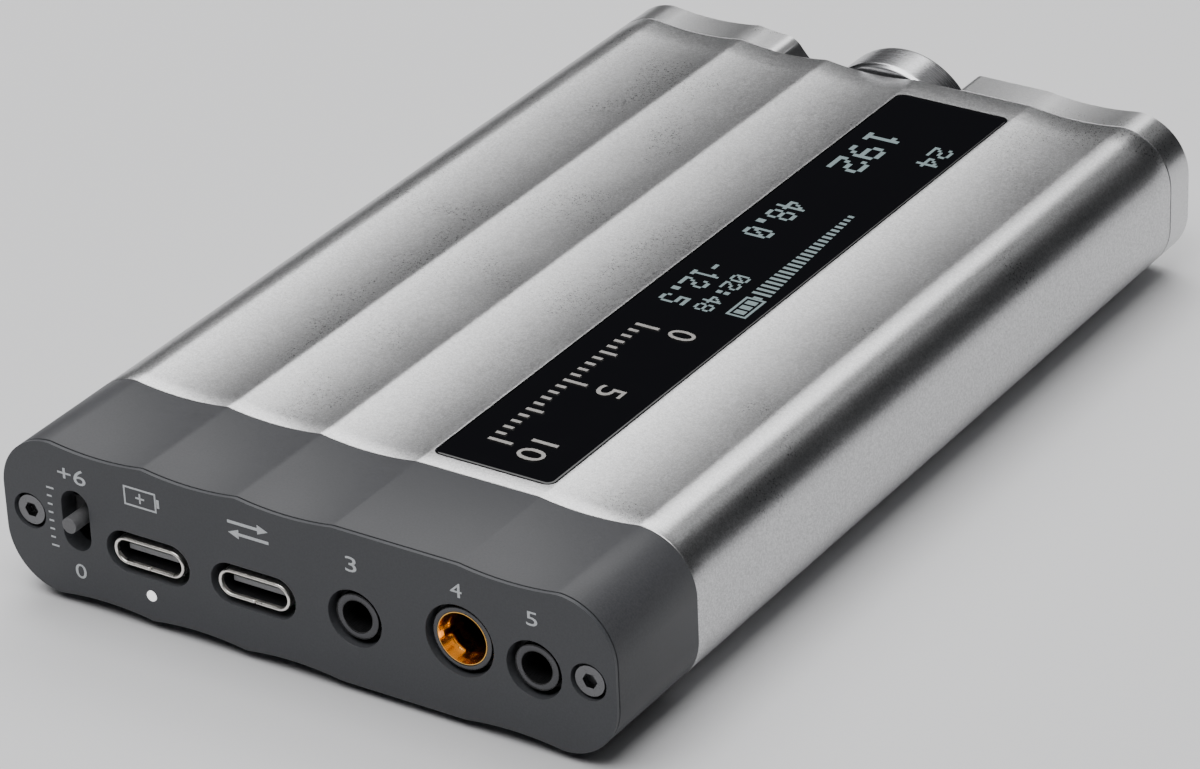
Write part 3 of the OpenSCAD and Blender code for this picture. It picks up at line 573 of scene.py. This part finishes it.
def makeSleeve(shape):
    # The swept body outline, wrapped round its wall. Between the recess lines the strip's columns drop by the depth
    # of the glass; near a recess corner its edge moves inward by r - sqrt(r^2 - d^2), which the quarter circle gives.
    gap, r, depth = shape["recessGap"], shape["recessCorner"], shape["recessDepth"]
    edgeHigh, edgeLow = glassHigh[0] + gap, glassLow[0] - gap
    y0, y1 = glassLow[1] - gap, glassHigh[1] + gap
    along, inward = roundSteps(r, 8)
    recess = [[y0, 0, 0, r]] + [[y0 + a, 0, 1, b] for a, b in zip(along, inward)]
    recess += [[y, 0, 1, 0] for y in np.linspace(y0 + r, y1 - r, 8)[1:-1]]
    recess += [[y1 - a, 0, 1, b] for a, b in zip(along[::-1], inward[::-1])] + [[y1, 0, 0, r]]
    rows = shellRows(seamY, bandY, shape["endRound"], shape["bandSeamRound"], bodyShape["wall"], recess)
    top = outlinePlaces[:, 1] > 0
    first = int(np.argmax(top & (outlinePlaces[:, 0] < edgeLow - 0.02)))
    last = len(top) - 1 - int(np.argmax((top & (outlinePlaces[:, 0] > edgeHigh + 0.02))[::-1]))
    columns, normals = outlineSamples(first, last)
    grid = sweptShell(rows, columns, normals)
    # strip columns: share of the way from the high edge to the low one, and whether they are on the recess floor
    share = np.array([0, 0, 0.02, 0.5, 0.98, 1, 1])
    floor = np.array([0, 1, 1, 1, 1, 1, 0])
    high = edgeHigh - rows[:, 3]
    low = edgeLow + rows[:, 3]
    x = high[:, None] + (low - high)[:, None] * share
    z = midZ + halfHeight - rows[:, 1, None] - depth * rows[:, 2, None] * floor
    strip = np.stack([x, np.repeat(rows[:, 0][:, None], len(share), 1), z], -1)
    grid = np.concatenate([grid, strip], 1)
    points = grid.reshape(-1, 3)
    slot = capsulePath(gainSlot["length"] / 2, gainSlot["width"] / 2)[0]
    middle = (gainSlot["x"], gainSlot["y"], midZ - halfHeight - 1)
    return addPiece("sleeveShell", [(points, gridFaces(grid.shape[0], grid.shape[1], True, True))], "silverSleeve",
                    stands=["body_sleeve"], cutters=[prism(slot, middle, (1, 0, 0), (0, 1, 0), 4)])


def makeBand(shape):
    # the same outline, with its own rounded ends
    columns, normals = outlineSamples(0, len(outlinePlaces) - 1)
    rows = shellRows(bandY, bandHigh[1] - shape["rimGap"], shape["sleeveRound"], shape["plateRound"], bodyShape["wall"])
    grid = sweptShell(rows, columns, normals)
    return addPiece("rearBand", [(grid.reshape(-1, 3), gridFaces(grid.shape[0], grid.shape[1], True, True))], "charcoalBand",
                    stands=["rear_band"])


makeSleeve(sleeveShape)
makeBand({"sleeveRound": 0.1, "plateRound": 0.08, "rimGap": 0.2})
print("sleeve and band made")

# ---------- plate, cap and other machined parts ----------


def bevelledCopy(name, nodes, finish, width, weightOf=None, segments=3, body="case", sharpAngle=35, cutters=()):
    # the parts' own meshes, joined up, with their sharp edges rounded; weightOf gives each edge's share of the width
    # from the middles of the edges, in mm
    work = bmesh.new()
    for node in nodes:
        work.from_mesh(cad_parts[node].data)
    bmesh.ops.remove_doubles(work, verts=work.verts, dist=2e-6)
    mesh = bpy.data.meshes.new(name)
    if cutters:
        work.to_mesh(mesh)
        mesh = carved(mesh, cutters)
        mesh.name = name
        work.clear()
        work.from_mesh(mesh)
        bmesh.ops.remove_doubles(work, verts=work.verts, dist=2e-6)
    bmesh.ops.dissolve_limit(work, angle_limit=math.radians(0.5), verts=work.verts, edges=work.edges)
    work.to_mesh(mesh)
    sharp = np.array([len(e.link_faces) == 2 and e.calc_face_angle(0.0) > math.radians(sharpAngle) for e in work.edges])
    work.free()
    mesh.materials.clear()
    mesh.materials.append(finishes[finish])
    mesh.shade_smooth()
    mesh.set_sharp_from_angle(angle=math.radians(sharpAngle))
    places = np.empty(len(mesh.vertices) * 3)
    mesh.vertices.foreach_get("co", places)
    ends = np.empty(len(mesh.edges) * 2, np.int32)
    mesh.edges.foreach_get("vertices", ends)
    middles = places.reshape(-1, 3)[ends.reshape(-1, 2)].mean(1) / mm
    weights = np.where(sharp, weightOf(middles) if weightOf else 1.0, 0.0)
    mesh.attributes.new("bevel_weight_edge", "FLOAT", "EDGE").data.foreach_set("value", weights.astype(np.float32))
    piece = bpy.data.objects.new(name, mesh)
    bpy.context.scene.collection.objects.link(piece)
    bevel = piece.modifiers.new("edges", "BEVEL")
    bevel.width, bevel.segments, bevel.limit_method = width * mm, segments, "WEIGHT"
    bevel.harden_normals = True
    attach(piece, body)
    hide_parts(*nodes)
    return piece


def plateEdges(middles):
    # the openings get the full width, the outside edge and the counterbores less, the hidden side none
    onFace = middles[:, 1] > rearY - 0.05
    outside = (np.abs(middles[:, 0]) > halfWidth - 6.4) | (np.abs(middles[:, 2] - midZ) > halfHeight - 1.1)
    return np.where(onFace, np.where(outside, 0.15, 1.0), 0.0)


bevelledCopy("rearPlate", ["rear_plate"], "charcoalPlate", 0.4, plateEdges)


hollowCorners = (
    # rounding where the knob's hollow meets the outside: X and height over the middle of its first point,
    # directions of the surface there and at the hollow's wall, radius, side
    (15.53, 8.482, 93.8, 143.7, 3.0, 1),
    (-10.87, 8.9, 90.0, 148.1, 1.1, -1),
)


def cornerCutters(corners):
    # what lies outside an arc touching the top and the hollow's wall, above and mirrored below
    cutters = []
    for x, z, first, last, radius, side in corners:
        a = np.radians(np.linspace(first, last, 12))
        ring = radius * np.stack([side * np.cos(a), np.sin(a)], -1)
        arc = np.array([x, z]) - ring[0] + ring
        before = arc[:1] + [[side * 0.6, 0.08]]
        away = math.radians(last - 92)
        after = arc[-1:] - [[side * 0.6 * math.cos(away), 0.6 * math.sin(away)]]
        far = np.array([[x - side * 4.5, z + 0.5], [x - side * 2.5, z + 2.5], [x + side * 0.6, z + 2.5]])
        section = np.concatenate([before, arc, after, far])
        for up in (1, -1):
            cutters.append(prism(section * [1, up], (0, seamY + 0.02, midZ), (1, 0, 0), (0, 0, 1), 6))
    return cutters


def capEdges(middles):
    # the front edge, and the seam on the outside
    x, y, z = middles[:, 0], middles[:, 1], np.abs(middles[:, 2] - midZ)
    outside = (np.abs(x) > halfWidth - 6.4) | (z > halfHeight - 1.1)
    return np.select([y < frontY + 0.05, (np.abs(y - seamY) < 0.05) & outside], [1.0, 0.5], 0.0)


bevelledCopy("frontCap", ["front_cap"], "silverCap", 0.5, capEdges, cutters=cornerCutters(hollowCorners))
for name, nodes, finish, width, body, slot in (
    ("rearScrews", ["rear_screws"], "blackSteel", 0.25, "case", "dark_steel"),
    ("frontScrews", ["front_screws"], "blackSteel", 0.25, "case", "dark_steel"),
    ("toneLever", ["tone_switch_lever"], "greyPlastic", 0.14, "tone_lever", "grey_plastic"),
    ("gainLever", ["gain_switch_lever"], "greyPlastic", 0.14, "gain_lever", "grey_plastic"),
    ("rubberFeet", ["rubber_feet"], "footRubber", 0.3, "case", "foot_rubber"),
    ("chargeTongue", ["charge_socket_tongue"], "tonguePlastic", 0.12, "case", "black_plastic"),
    ("dataTongue", ["data_socket_tongue"], "tonguePlastic", 0.12, "case", "black_plastic"),
    ("shieldCan", ["shield_can"], "nickel", 0.2, "case", "steel"),
    ("batteryCell", ["battery_cell"], "batteryFoil", 1.2, "case", "battery_wrap"),
):
    bevelledCopy(name, nodes, finish, width, None, 3, body)
print("machined parts made")

# ---------- display ----------

glassShape = {"corner": 1.0, "edge": 0.22, "lift": 0.0}


def makeGlass(shape):
    # rings of a rounded rectangle: straight sides, a quarter-round edge, then flat; the ends are closed faces
    middle = (glassLow + glassHigh) / 2
    half = (glassHigh - glassLow) / 2
    path, away = roundedPath(half[0], half[1], shape["corner"])
    down, inside = roundSteps(shape["edge"], 5)
    heights = np.concatenate([[glassLow[2]], glassHigh[2] - inside, [glassHigh[2]]])
    insets = np.concatenate([[0], down, [shape["edge"] + 0.3]])
    # from the side up over the edge: the inset grows as the height does
    ring = path[None] - insets[:, None, None] * away[None]
    z = np.repeat(heights[:, None], len(path), 1)
    points = np.stack([ring[..., 0] + middle[0], ring[..., 1] + middle[1], z], -1)
    n = len(path)
    faces = gridFaces(len(insets), n, False, True)
    faces += [list(range(n)), list(range((len(insets) - 1) * n, len(insets) * n))]
    return addPiece("displayGlass", [(points.reshape(-1, 3), faces)], "blackGlass", stands=["display_glass"],
                    sharpAngle=50)


makeGlass(glassShape)


def lettering(text, width, height, origin, across, up, depth):
    # figures fitted to a rectangle: across and up are its sides' directions, and depth is their thickness
    curve = bpy.data.curves.new("letters", "FONT")
    curve.body, curve.extrude, curve.resolution_u = text, 0.5, 4
    curve.fill_mode = "BOTH"
    holder = bpy.data.objects.new("letters", curve)
    bpy.context.scene.collection.objects.link(holder)
    bpy.context.view_layer.update()
    mesh = bpy.data.meshes.new_from_object(holder)
    places = np.empty(len(mesh.vertices) * 3)
    mesh.vertices.foreach_get("co", places)
    places = places.reshape(-1, 3)
    faces = [list(face.vertices) for face in mesh.polygons]
    bpy.data.objects.remove(holder)
    bpy.data.curves.remove(curve)
    bpy.data.meshes.remove(mesh)
    low, high = places.min(0), places.max(0)
    unit = (places - low) / (high - low)
    across, up = np.array(across, float), np.array(up, float)
    out = np.cross(across, up)
    return (np.array(origin) + unit[:, :1] * width * across + unit[:, 1:2] * height * up
            + unit[:, 2:] * depth * out), faces


dotFigures = {
    # five dots wide and seven tall, from the top row down
    "0": (14, 17, 19, 21, 25, 17, 14),
    "1": (4, 12, 4, 4, 4, 4, 14),
    "2": (14, 17, 1, 6, 8, 16, 31),
    "4": (2, 6, 10, 18, 31, 2, 2),
    "5": (31, 16, 30, 1, 1, 17, 14),
    "8": (14, 17, 17, 14, 17, 17, 14),
    "9": (14, 17, 17, 15, 1, 2, 12),
    "-": (0, 0, 0, 14, 0, 0, 0),
    ".": (0, 0, 0, 0, 0, 12, 12),
    ":": (0, 12, 12, 0, 12, 12, 0),
}


def dotText(text, width, height, origin, across, up, depth):
    # every lit dot is a small square; six columns to a figure, the last one empty
    lit = np.array([[[row >> (4 - k) & 1 for k in range(5)] for row in dotFigures[c]] for c in text])
    figure, row, column = np.nonzero(lit)
    pitchX, pitchY = width / (6 * len(text) - 1), height / 7
    return [bar(np.array(origin) + (6 * f + c) * pitchX * np.array(across) + (6 - r) * pitchY * np.array(up),
                across, up, pitchX, pitchY, depth) for f, r, c in zip(figure, row, column)]


def bar(origin, across, up, width, height, depth, soft=0.0):
    # a thin bar with its first corner at origin
    return prism([(0, 0), (width, 0), (width, height), (0, height)], origin, across, up, depth, soft)


def outlineFrame(origin, across, up, width, height, line, depth):
    # four bars round a rectangle
    a, u, o = np.array(across, float), np.array(up, float), np.array(origin, float)
    return [
        bar(o, a, u, width, line, depth),
        bar(o + u * (height - line), a, u, width, line, depth),
        bar(o + u * line, a, u, line, height - 2 * line, depth),
        bar(o + u * line + a * (width - line), a, u, line, height - 2 * line, depth),
    ]


screenAcross, screenUp = (0, 1, 0), (-1, 0, 0)     # the screen is read from the front end to the rear
screenFigures = {
    "depth": 0.012,
    # text: distance of its start from the front edge of the glass, of its foot from the +X edge, width, height
    "text": {
        "192": (9.8, 2.1, 10.5, 4.2),
        "24": (10.3, 10.5, 5.0, 2.6),
        "48.0": (29.6, 2.1, 9.2, 3.5),
        "-12.5": (46.1, 2.3, 10.2, 3.3),
        "02:48": (47.4, 6.7, 8.9, 2.2),
    },
    "level": {"start": 29.6, "foot": 10.5, "bars": 23, "pitch": 0.92, "width": 0.46, "height": 2.4},
    "battery": {"start": 51.3, "foot": 10.5, "width": 4.4, "height": 2.5, "line": 0.3},
}


def makeScreenFigures(look):
    top = glassHigh[2]
    depth = look["depth"]
    at = lambda start, foot: (glassHigh[0] - foot, glassLow[1] + start, top - depth / 2)
    parts = [dot for text, (start, foot, w, h) in look["text"].items()
             for dot in dotText(text, w, h, at(start, foot), screenAcross, screenUp, depth)]
    level = look["level"]
    for i in range(level["bars"]):
        tall = level["height"] * (0.3 + 0.7 * i / level["bars"])
        parts.append(bar(at(level["start"] + i * level["pitch"], level["foot"]), screenAcross, screenUp, level["width"], tall, depth))
    cell = look["battery"]
    corner = at(cell["start"], cell["foot"])
    parts += outlineFrame(corner, screenAcross, screenUp, cell["width"], cell["height"], cell["line"], depth)
    parts.append(bar((corner[0] - 0.7, corner[1] - 0.45, corner[2]), screenAcross, screenUp, 0.4, 1.1, depth))
    for i in range(3):
        parts.append(bar((corner[0] - 0.6, corner[1] + 0.65 + 1.15 * i, corner[2]), screenAcross, screenUp, 0.8, 1.3, depth))
    return addPiece("screenFigures", parts, "screenLight")


raisedScale = {"start": 62.0, "foot": 3.4, "ticks": 21, "pitch": 1.4, "tick": 0.5, "short": 1.3, "long": 3.0, "lift": 0.12}


def makeRaisedScale(look):
    # a plain scale of raised strokes with 0, 5 and 10 beside its long ones
    top = glassHigh[2] - 0.01
    foot = glassHigh[0] - look["foot"]
    parts = []
    for i in range(look["ticks"]):
        tall = look["long"] if i % 10 == 0 else (look["long"] + look["short"]) / 2 if i % 5 == 0 else look["short"]
        y = glassLow[1] + look["start"] + i * look["pitch"]
        parts.append(bar((foot, y, top), screenAcross, screenUp, look["tick"], tall, look["lift"], 0.06))
    for number, i in (("0", 0), ("5", 10), ("10", 20)):
        y = glassLow[1] + look["start"] + i * look["pitch"] + look["tick"] / 2
        width = 2.0 * len(number)
        parts.append(lettering(number, width, 3.2, (foot - 4.2, y - width / 2, top), screenAcross, screenUp, look["lift"]))
    return addPiece("raisedScale", parts, "raisedChrome")


makeScreenFigures(screenFigures)
makeRaisedScale(raisedScale)
print("display made")

# ---------- rear ports ----------

plateAcross, plateUp = (-1, 0, 0), (0, 0, 1)       # the plate is read from behind
plateMarks = {
    "depth": 0.02,
    # text: X of its left end, height of its foot above the middle, width, height
    "text": {
        "+6": (30.1, 4.9, 3.6, 1.8),
        "0": (28.95, -6.4, 1.4, 1.7),
        "3": (-5.9, 4.4, 1.35, 1.75),
        "4": (-18.5, 5.2, 1.35, 1.6),
        "5": (-27.35, 4.5, 1.3, 1.6),
    },
    # ticks beside the switch: X, the lowest one's height above the middle, pitch, number
    "ticks": (31.8, -3.4, 0.98, 8),
    "battery": {"left": 21.6, "foot": 4.35, "width": 4.1, "height": 2.25, "line": 0.2},
    "arrows": {"left": 8.5, "foot": 4.5, "width": 5.0, "head": 1.3, "line": 0.34, "gap": 1.25},
}
socketShape = {"wall": 0.38, "lip": 0.14, "back": 1.0, "slit": 0.05, "slitDepth": 0.35}


def makeSocketShell(name, node, shape):
    # A wall with a half-round lip carried round a capsule; the slit where the metal was folded shut dents the lip by
    # slitDepth * exp(-(x / slit)^2) on its lower side.
    low, high = boxOf(node)
    centre, half = (low + high) / 2, (high - low) / 2
    flats = np.array([-1.2, -0.3, -0.12, -0.06, 0, 0.06, 0.12, 0.3, 1.2])
    path, away = capsulePath(half[0], half[2], 16, flats)
    wall, lip = shape["wall"], shape["wall"] / 2
    a = np.linspace(0, math.pi, 9)
    inset = np.concatenate([[0], lip - lip * np.cos(a), [wall, wall, wall]])
    depths = [high[1] - 0.5, high[1] - 0.5, low[1] + shape["back"]]
    y = np.concatenate([[low[1]], high[1] - lip + lip * np.sin(a), depths])
    flat = path[None] - inset[:, None, None] * away[None]
    lower = (path[:, 1] < 0) & (np.abs(path[:, 0]) < 2)
    dent = np.where(lower, shape["slitDepth"] * np.exp(-(path[:, 0] / shape["slit"]) ** 2), 0)
    yy = y[:, None] - dent[None] * (y > high[1] - 2 * lip)[:, None]
    points = np.stack([flat[..., 0] + centre[0], yy, flat[..., 1] + centre[2]], -1)
    n, rows = len(path), len(inset)
    outer = points[:-2].reshape(-1, 3), gridFaces(rows - 2, n, False, True) + [list(range(n))]
    floor = [list(range(2 * n, 3 * n))]
    lining = points[-3:].reshape(-1, 3), gridFaces(3, n, False, True) + floor
    return addPiece(name, [outer, lining], ["nickel", "blackPlastic"], stands=[node], sharpAngle=50,
                    shared=[0, 1])


makeSocketShell("chargeShell", "charge_socket_shell", socketShape)
makeSocketShell("dataShell", "data_socket_shell", socketShape)


def jackRing(name, node, inner, outer, faceY, toward, finish):
    # a pressed ring over the nose of a jack: half-round lip turned about the axis of the jack
    low, high = boxOf(node)
    centre = ((low[0] + high[0]) / 2, faceY, (low[2] + high[2]) / 2)
    half = (outer - inner) / 2
    a = np.linspace(0, math.pi, 13)
    lip = [(inner + half - half * math.cos(t), 0.06 - 0.35 * half + 0.35 * half * math.sin(t)) for t in a]
    profile = [(inner, -1.5)] + lip + [(outer, -1.5)]
    return addPiece(name, [lathe(profile, centre, 96, toward)], finish)


rings = {
    # node: bore and nose radius
    "digital_jack": (1.8, 2.56), "line_jack": (1.8, 2.56), "balanced_line_jack": (2.96, 3.51),
    "headphone_jack": (1.8, 2.56), "balanced_headphone_jack": (2.96, 3.51),
}
for node, (inner, outer) in rings.items():
    atFront = "headphone" in node
    faceY = boxOf(node)[0][1] if atFront else boxOf(node)[1][1]
    jackRing(node.replace("_jack", "") + "Ring", node, inner, outer, faceY, -1 if atFront else 1, "ringMetal")


contactShape = {"mouth": 2.85, "throat": 2.28, "flare": 1.5, "springs": 5, "slot": 0.34, "ribs": 0.05, "length": 9.0}


def makeContact(name, node, toward, shape):
    # a gold sleeve flared at the mouth and slit into springs: r = bore + slot * |cos(springs * t / 2)|^24 past the
    # flare, with ribs * sin of the depth along it
    low, high = boxOf(node)
    faceY = high[1] if toward > 0 else low[1]
    outer = (high[0] - low[0]) / 2
    x, z = (high[0] + low[0]) / 2, (high[2] + low[2]) / 2
    t = np.linspace(0, 2 * math.pi, 160, endpoint=False)
    depth = np.concatenate([[0, 0.04, 0.12], np.linspace(0.3, shape["flare"], 6), np.linspace(shape["flare"] + 0.15, shape["length"], 40)])
    flare = np.clip(1 - depth / shape["flare"], 0, 1)
    bore = shape["throat"] + (shape["mouth"] - shape["throat"]) * flare ** 0.8
    past = np.clip((depth - 0.9) / 0.6, 0, 1)[:, None]
    slit = shape["slot"] * np.abs(np.cos(shape["springs"] * t / 2 + 0.5)) ** 24
    r = bore[:, None] + past * (slit[None] + shape["ribs"] * np.sin(depth * 3.2)[:, None])
    r = np.concatenate([np.full((1, len(t)), outer - 0.02), r, np.full((1, len(t)), outer - 0.02)])
    y = faceY - toward * np.concatenate([[0], depth, [shape["length"]]])
    points = np.stack([x + r * np.cos(t), np.repeat(y[:, None], len(t), 1), z + r * np.sin(t)], -1)
    faces = gridFaces(r.shape[0], len(t), True, True)
    return addPiece(name, [(points.reshape(-1, 3), faces)], "gold", stands=[node], sharpAngle=40)


makeContact("balancedLineContact", "balanced_line_contact", 1, contactShape)
makeContact("balancedHeadphoneContact", "balanced_headphone_contact", -1, contactShape)


def makePlateMarks(look):
    depth = look["depth"]
    y = rearY - 0.005
    parts = [lettering(text, w, h, (x, y, midZ + z), plateAcross, plateUp, depth)
             for text, (x, z, w, h) in look["text"].items()]
    x, low, pitch, count = look["ticks"]
    for i in range(count):
        long = i in (0, count - 1)
        parts.append(bar((x, y, midZ + low + i * pitch), plateAcross, plateUp, 0.95 if long else 0.6, 0.2, depth))
    # over the charging socket a battery with a plus in it
    cell = look["battery"]
    left, foot, wide, tall = cell["left"], midZ + cell["foot"], cell["width"], cell["height"]
    parts += outlineFrame((left, y, foot), plateAcross, plateUp, wide, tall, cell["line"], depth)
    parts.append(bar((left - wide - 0.06, y, foot + tall * 0.28), plateAcross, plateUp, 0.32, tall * 0.44, depth))
    parts.append(bar((left - wide / 2 + 0.55, y, foot + tall / 2 - 0.1), plateAcross, plateUp, 1.1, 0.2, depth))
    parts.append(bar((left - wide / 2 + 0.1, y, foot + tall / 2 + 0.12), plateAcross, plateUp, 0.2, 0.45, depth))
    parts.append(bar((left - wide / 2 + 0.1, y, foot + tall / 2 - 0.57), plateAcross, plateUp, 0.2, 0.45, depth))
    # over the data socket two opposite arrows
    pair = look["arrows"]
    wide, head, line = pair["width"], pair["head"], pair["line"]
    for side, height in ((1, pair["gap"]), (-1, 0)):
        origin = (pair["left"] - (0 if side > 0 else wide), y, midZ + pair["foot"] + 0.3 + height)
        shaft = [(0, -line / 2), (wide - head, -line / 2), (wide - head, line / 2), (0, line / 2)]
        tip = [(wide - head, -head * 0.42), (wide, 0), (wide - head, head * 0.42)]
        for shape in (shaft, tip):
            corners = [(a * side, b) for a, b in shape][::side]
            parts.append(prism(corners, origin, plateAcross, plateUp, depth))
    return addPiece("plateMarks", parts, "ink")


makePlateMarks(plateMarks)
print("rear ports made")

# ---------- knob and buttons ----------

knobShape = {"chamfer": 0.5, "dish": 0.35, "dishRadius": 7.2, "hollowRadius": 5.8, "hollowDepth": 2.2, "groove": 0.12}


def makeKnob(shape):
    # turned profile from the middle of the front face, out over the rim and back into the hollow behind:
    # the front is dished by dish * (1 - (r / dishRadius)^2)
    low, high = knobLow, knobHigh
    radius, thick = (high[0] - low[0]) / 2, high[1] - low[1]
    c, g = shape["chamfer"], shape["groove"]
    r = np.linspace(0, shape["dishRadius"], 14)
    face = [(a, shape["dish"] * (1 - (a / shape["dishRadius"]) ** 2)) for a in r]
    a = np.linspace(0, math.pi / 2, 6)
    soft = 0.16
    frontRim = [(radius - c - 0.1, 0), (radius - c, 0), (radius - c + soft, 0.03), (radius - 0.03, c - soft), (radius, c), (radius, c + 0.1)]
    rearRim = [(x, thick - y) for x, y in frontRim[::-1]]
    back = [(shape["hollowRadius"], thick), (shape["hollowRadius"], thick - shape["hollowDepth"]), (0, thick - shape["hollowDepth"])]
    profile = face + [(shape["dishRadius"] + 0.2, 0)] + frontRim + rearRim + back
    centre = (0, low[1], midZ)
    t = np.linspace(0, 2 * math.pi, 192, endpoint=False)
    points, faces = lathe(profile, centre, 192, 1)
    faces = gridFaces(len(profile), 192, False, True)
    return addPiece("volumeKnob", [(points, faces)], "knobMetal", "knob", ["volume_knob"], 25)


makeKnob(knobShape)


def makeButton(name, node, body):
    # a domed cap on a round stem, with the flange that holds it in
    low, high = boxOf(node)
    centre = ((low[0] + high[0]) / 2, low[1], (low[2] + high[2]) / 2)
    length = high[1] - low[1]
    flange = (high[0] - low[0]) / 2
    radius = flange - 0.6
    r = np.linspace(0, radius - 0.3, 10)
    dish = [(a, 0.12 * (1 - (a / (radius - 0.3)) ** 2)) for a in r]
    along, inward = roundSteps(0.3, 5)
    rim = [(radius - b, a) for a, b in zip(along, inward)][1:]
    finishes[name + "Metal"] = turnedMetal(name + "Metal", (0.5, 0.5, 0.51), centre, 0.11, 0.002, 0.3)
    profile = dish + rim + [(radius, length - 0.6), (flange, length - 0.6), (flange, length), (0, length)]
    points, faces = lathe(profile, centre, 96, 1)
    return addPiece(name, [(points, gridFaces(len(profile), 96, False, True))], name + "Metal", body, [node], 30)


makeButton("menuButton", "menu_button", "menu_key")
makeButton("inputButton", "input_button", "input_key")
print("knob and buttons made")

# ---------- finishes of the parts that keep their own shape ----------

keptParts = {
    "blackPlastic": ["board_connector", "main_chips", "digital_jack", "line_jack", "balanced_line_jack", "headphone_jack",
                     "balanced_headphone_jack", "tone_switch_housing", "gain_switch_housing", "button_switches",
                     "encoder_plunger", "display_module"],
    "gold": ["capacitors"],
    "nickel": ["radio_module", "encoder_body", "encoder_nut", "encoder_spring", "knob_shaft"],
    "board": ["main_board", "front_board"],
    "copperFilm": ["display_ribbon", "radio_antenna", "battery_lead"],
    "clearPlastic": ["battery_tape", "indicator_lamps"],
    "chargeGlow": ["charge_light_pipe"],
    "statusGlow": ["status_light_pipes"],
}
for finish, nodes in keptParts.items():
    for node in nodes:
        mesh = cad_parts[node].data
        mesh.materials.clear()
        mesh.materials.append(finishes[finish])
print("finishes given to the kept parts")
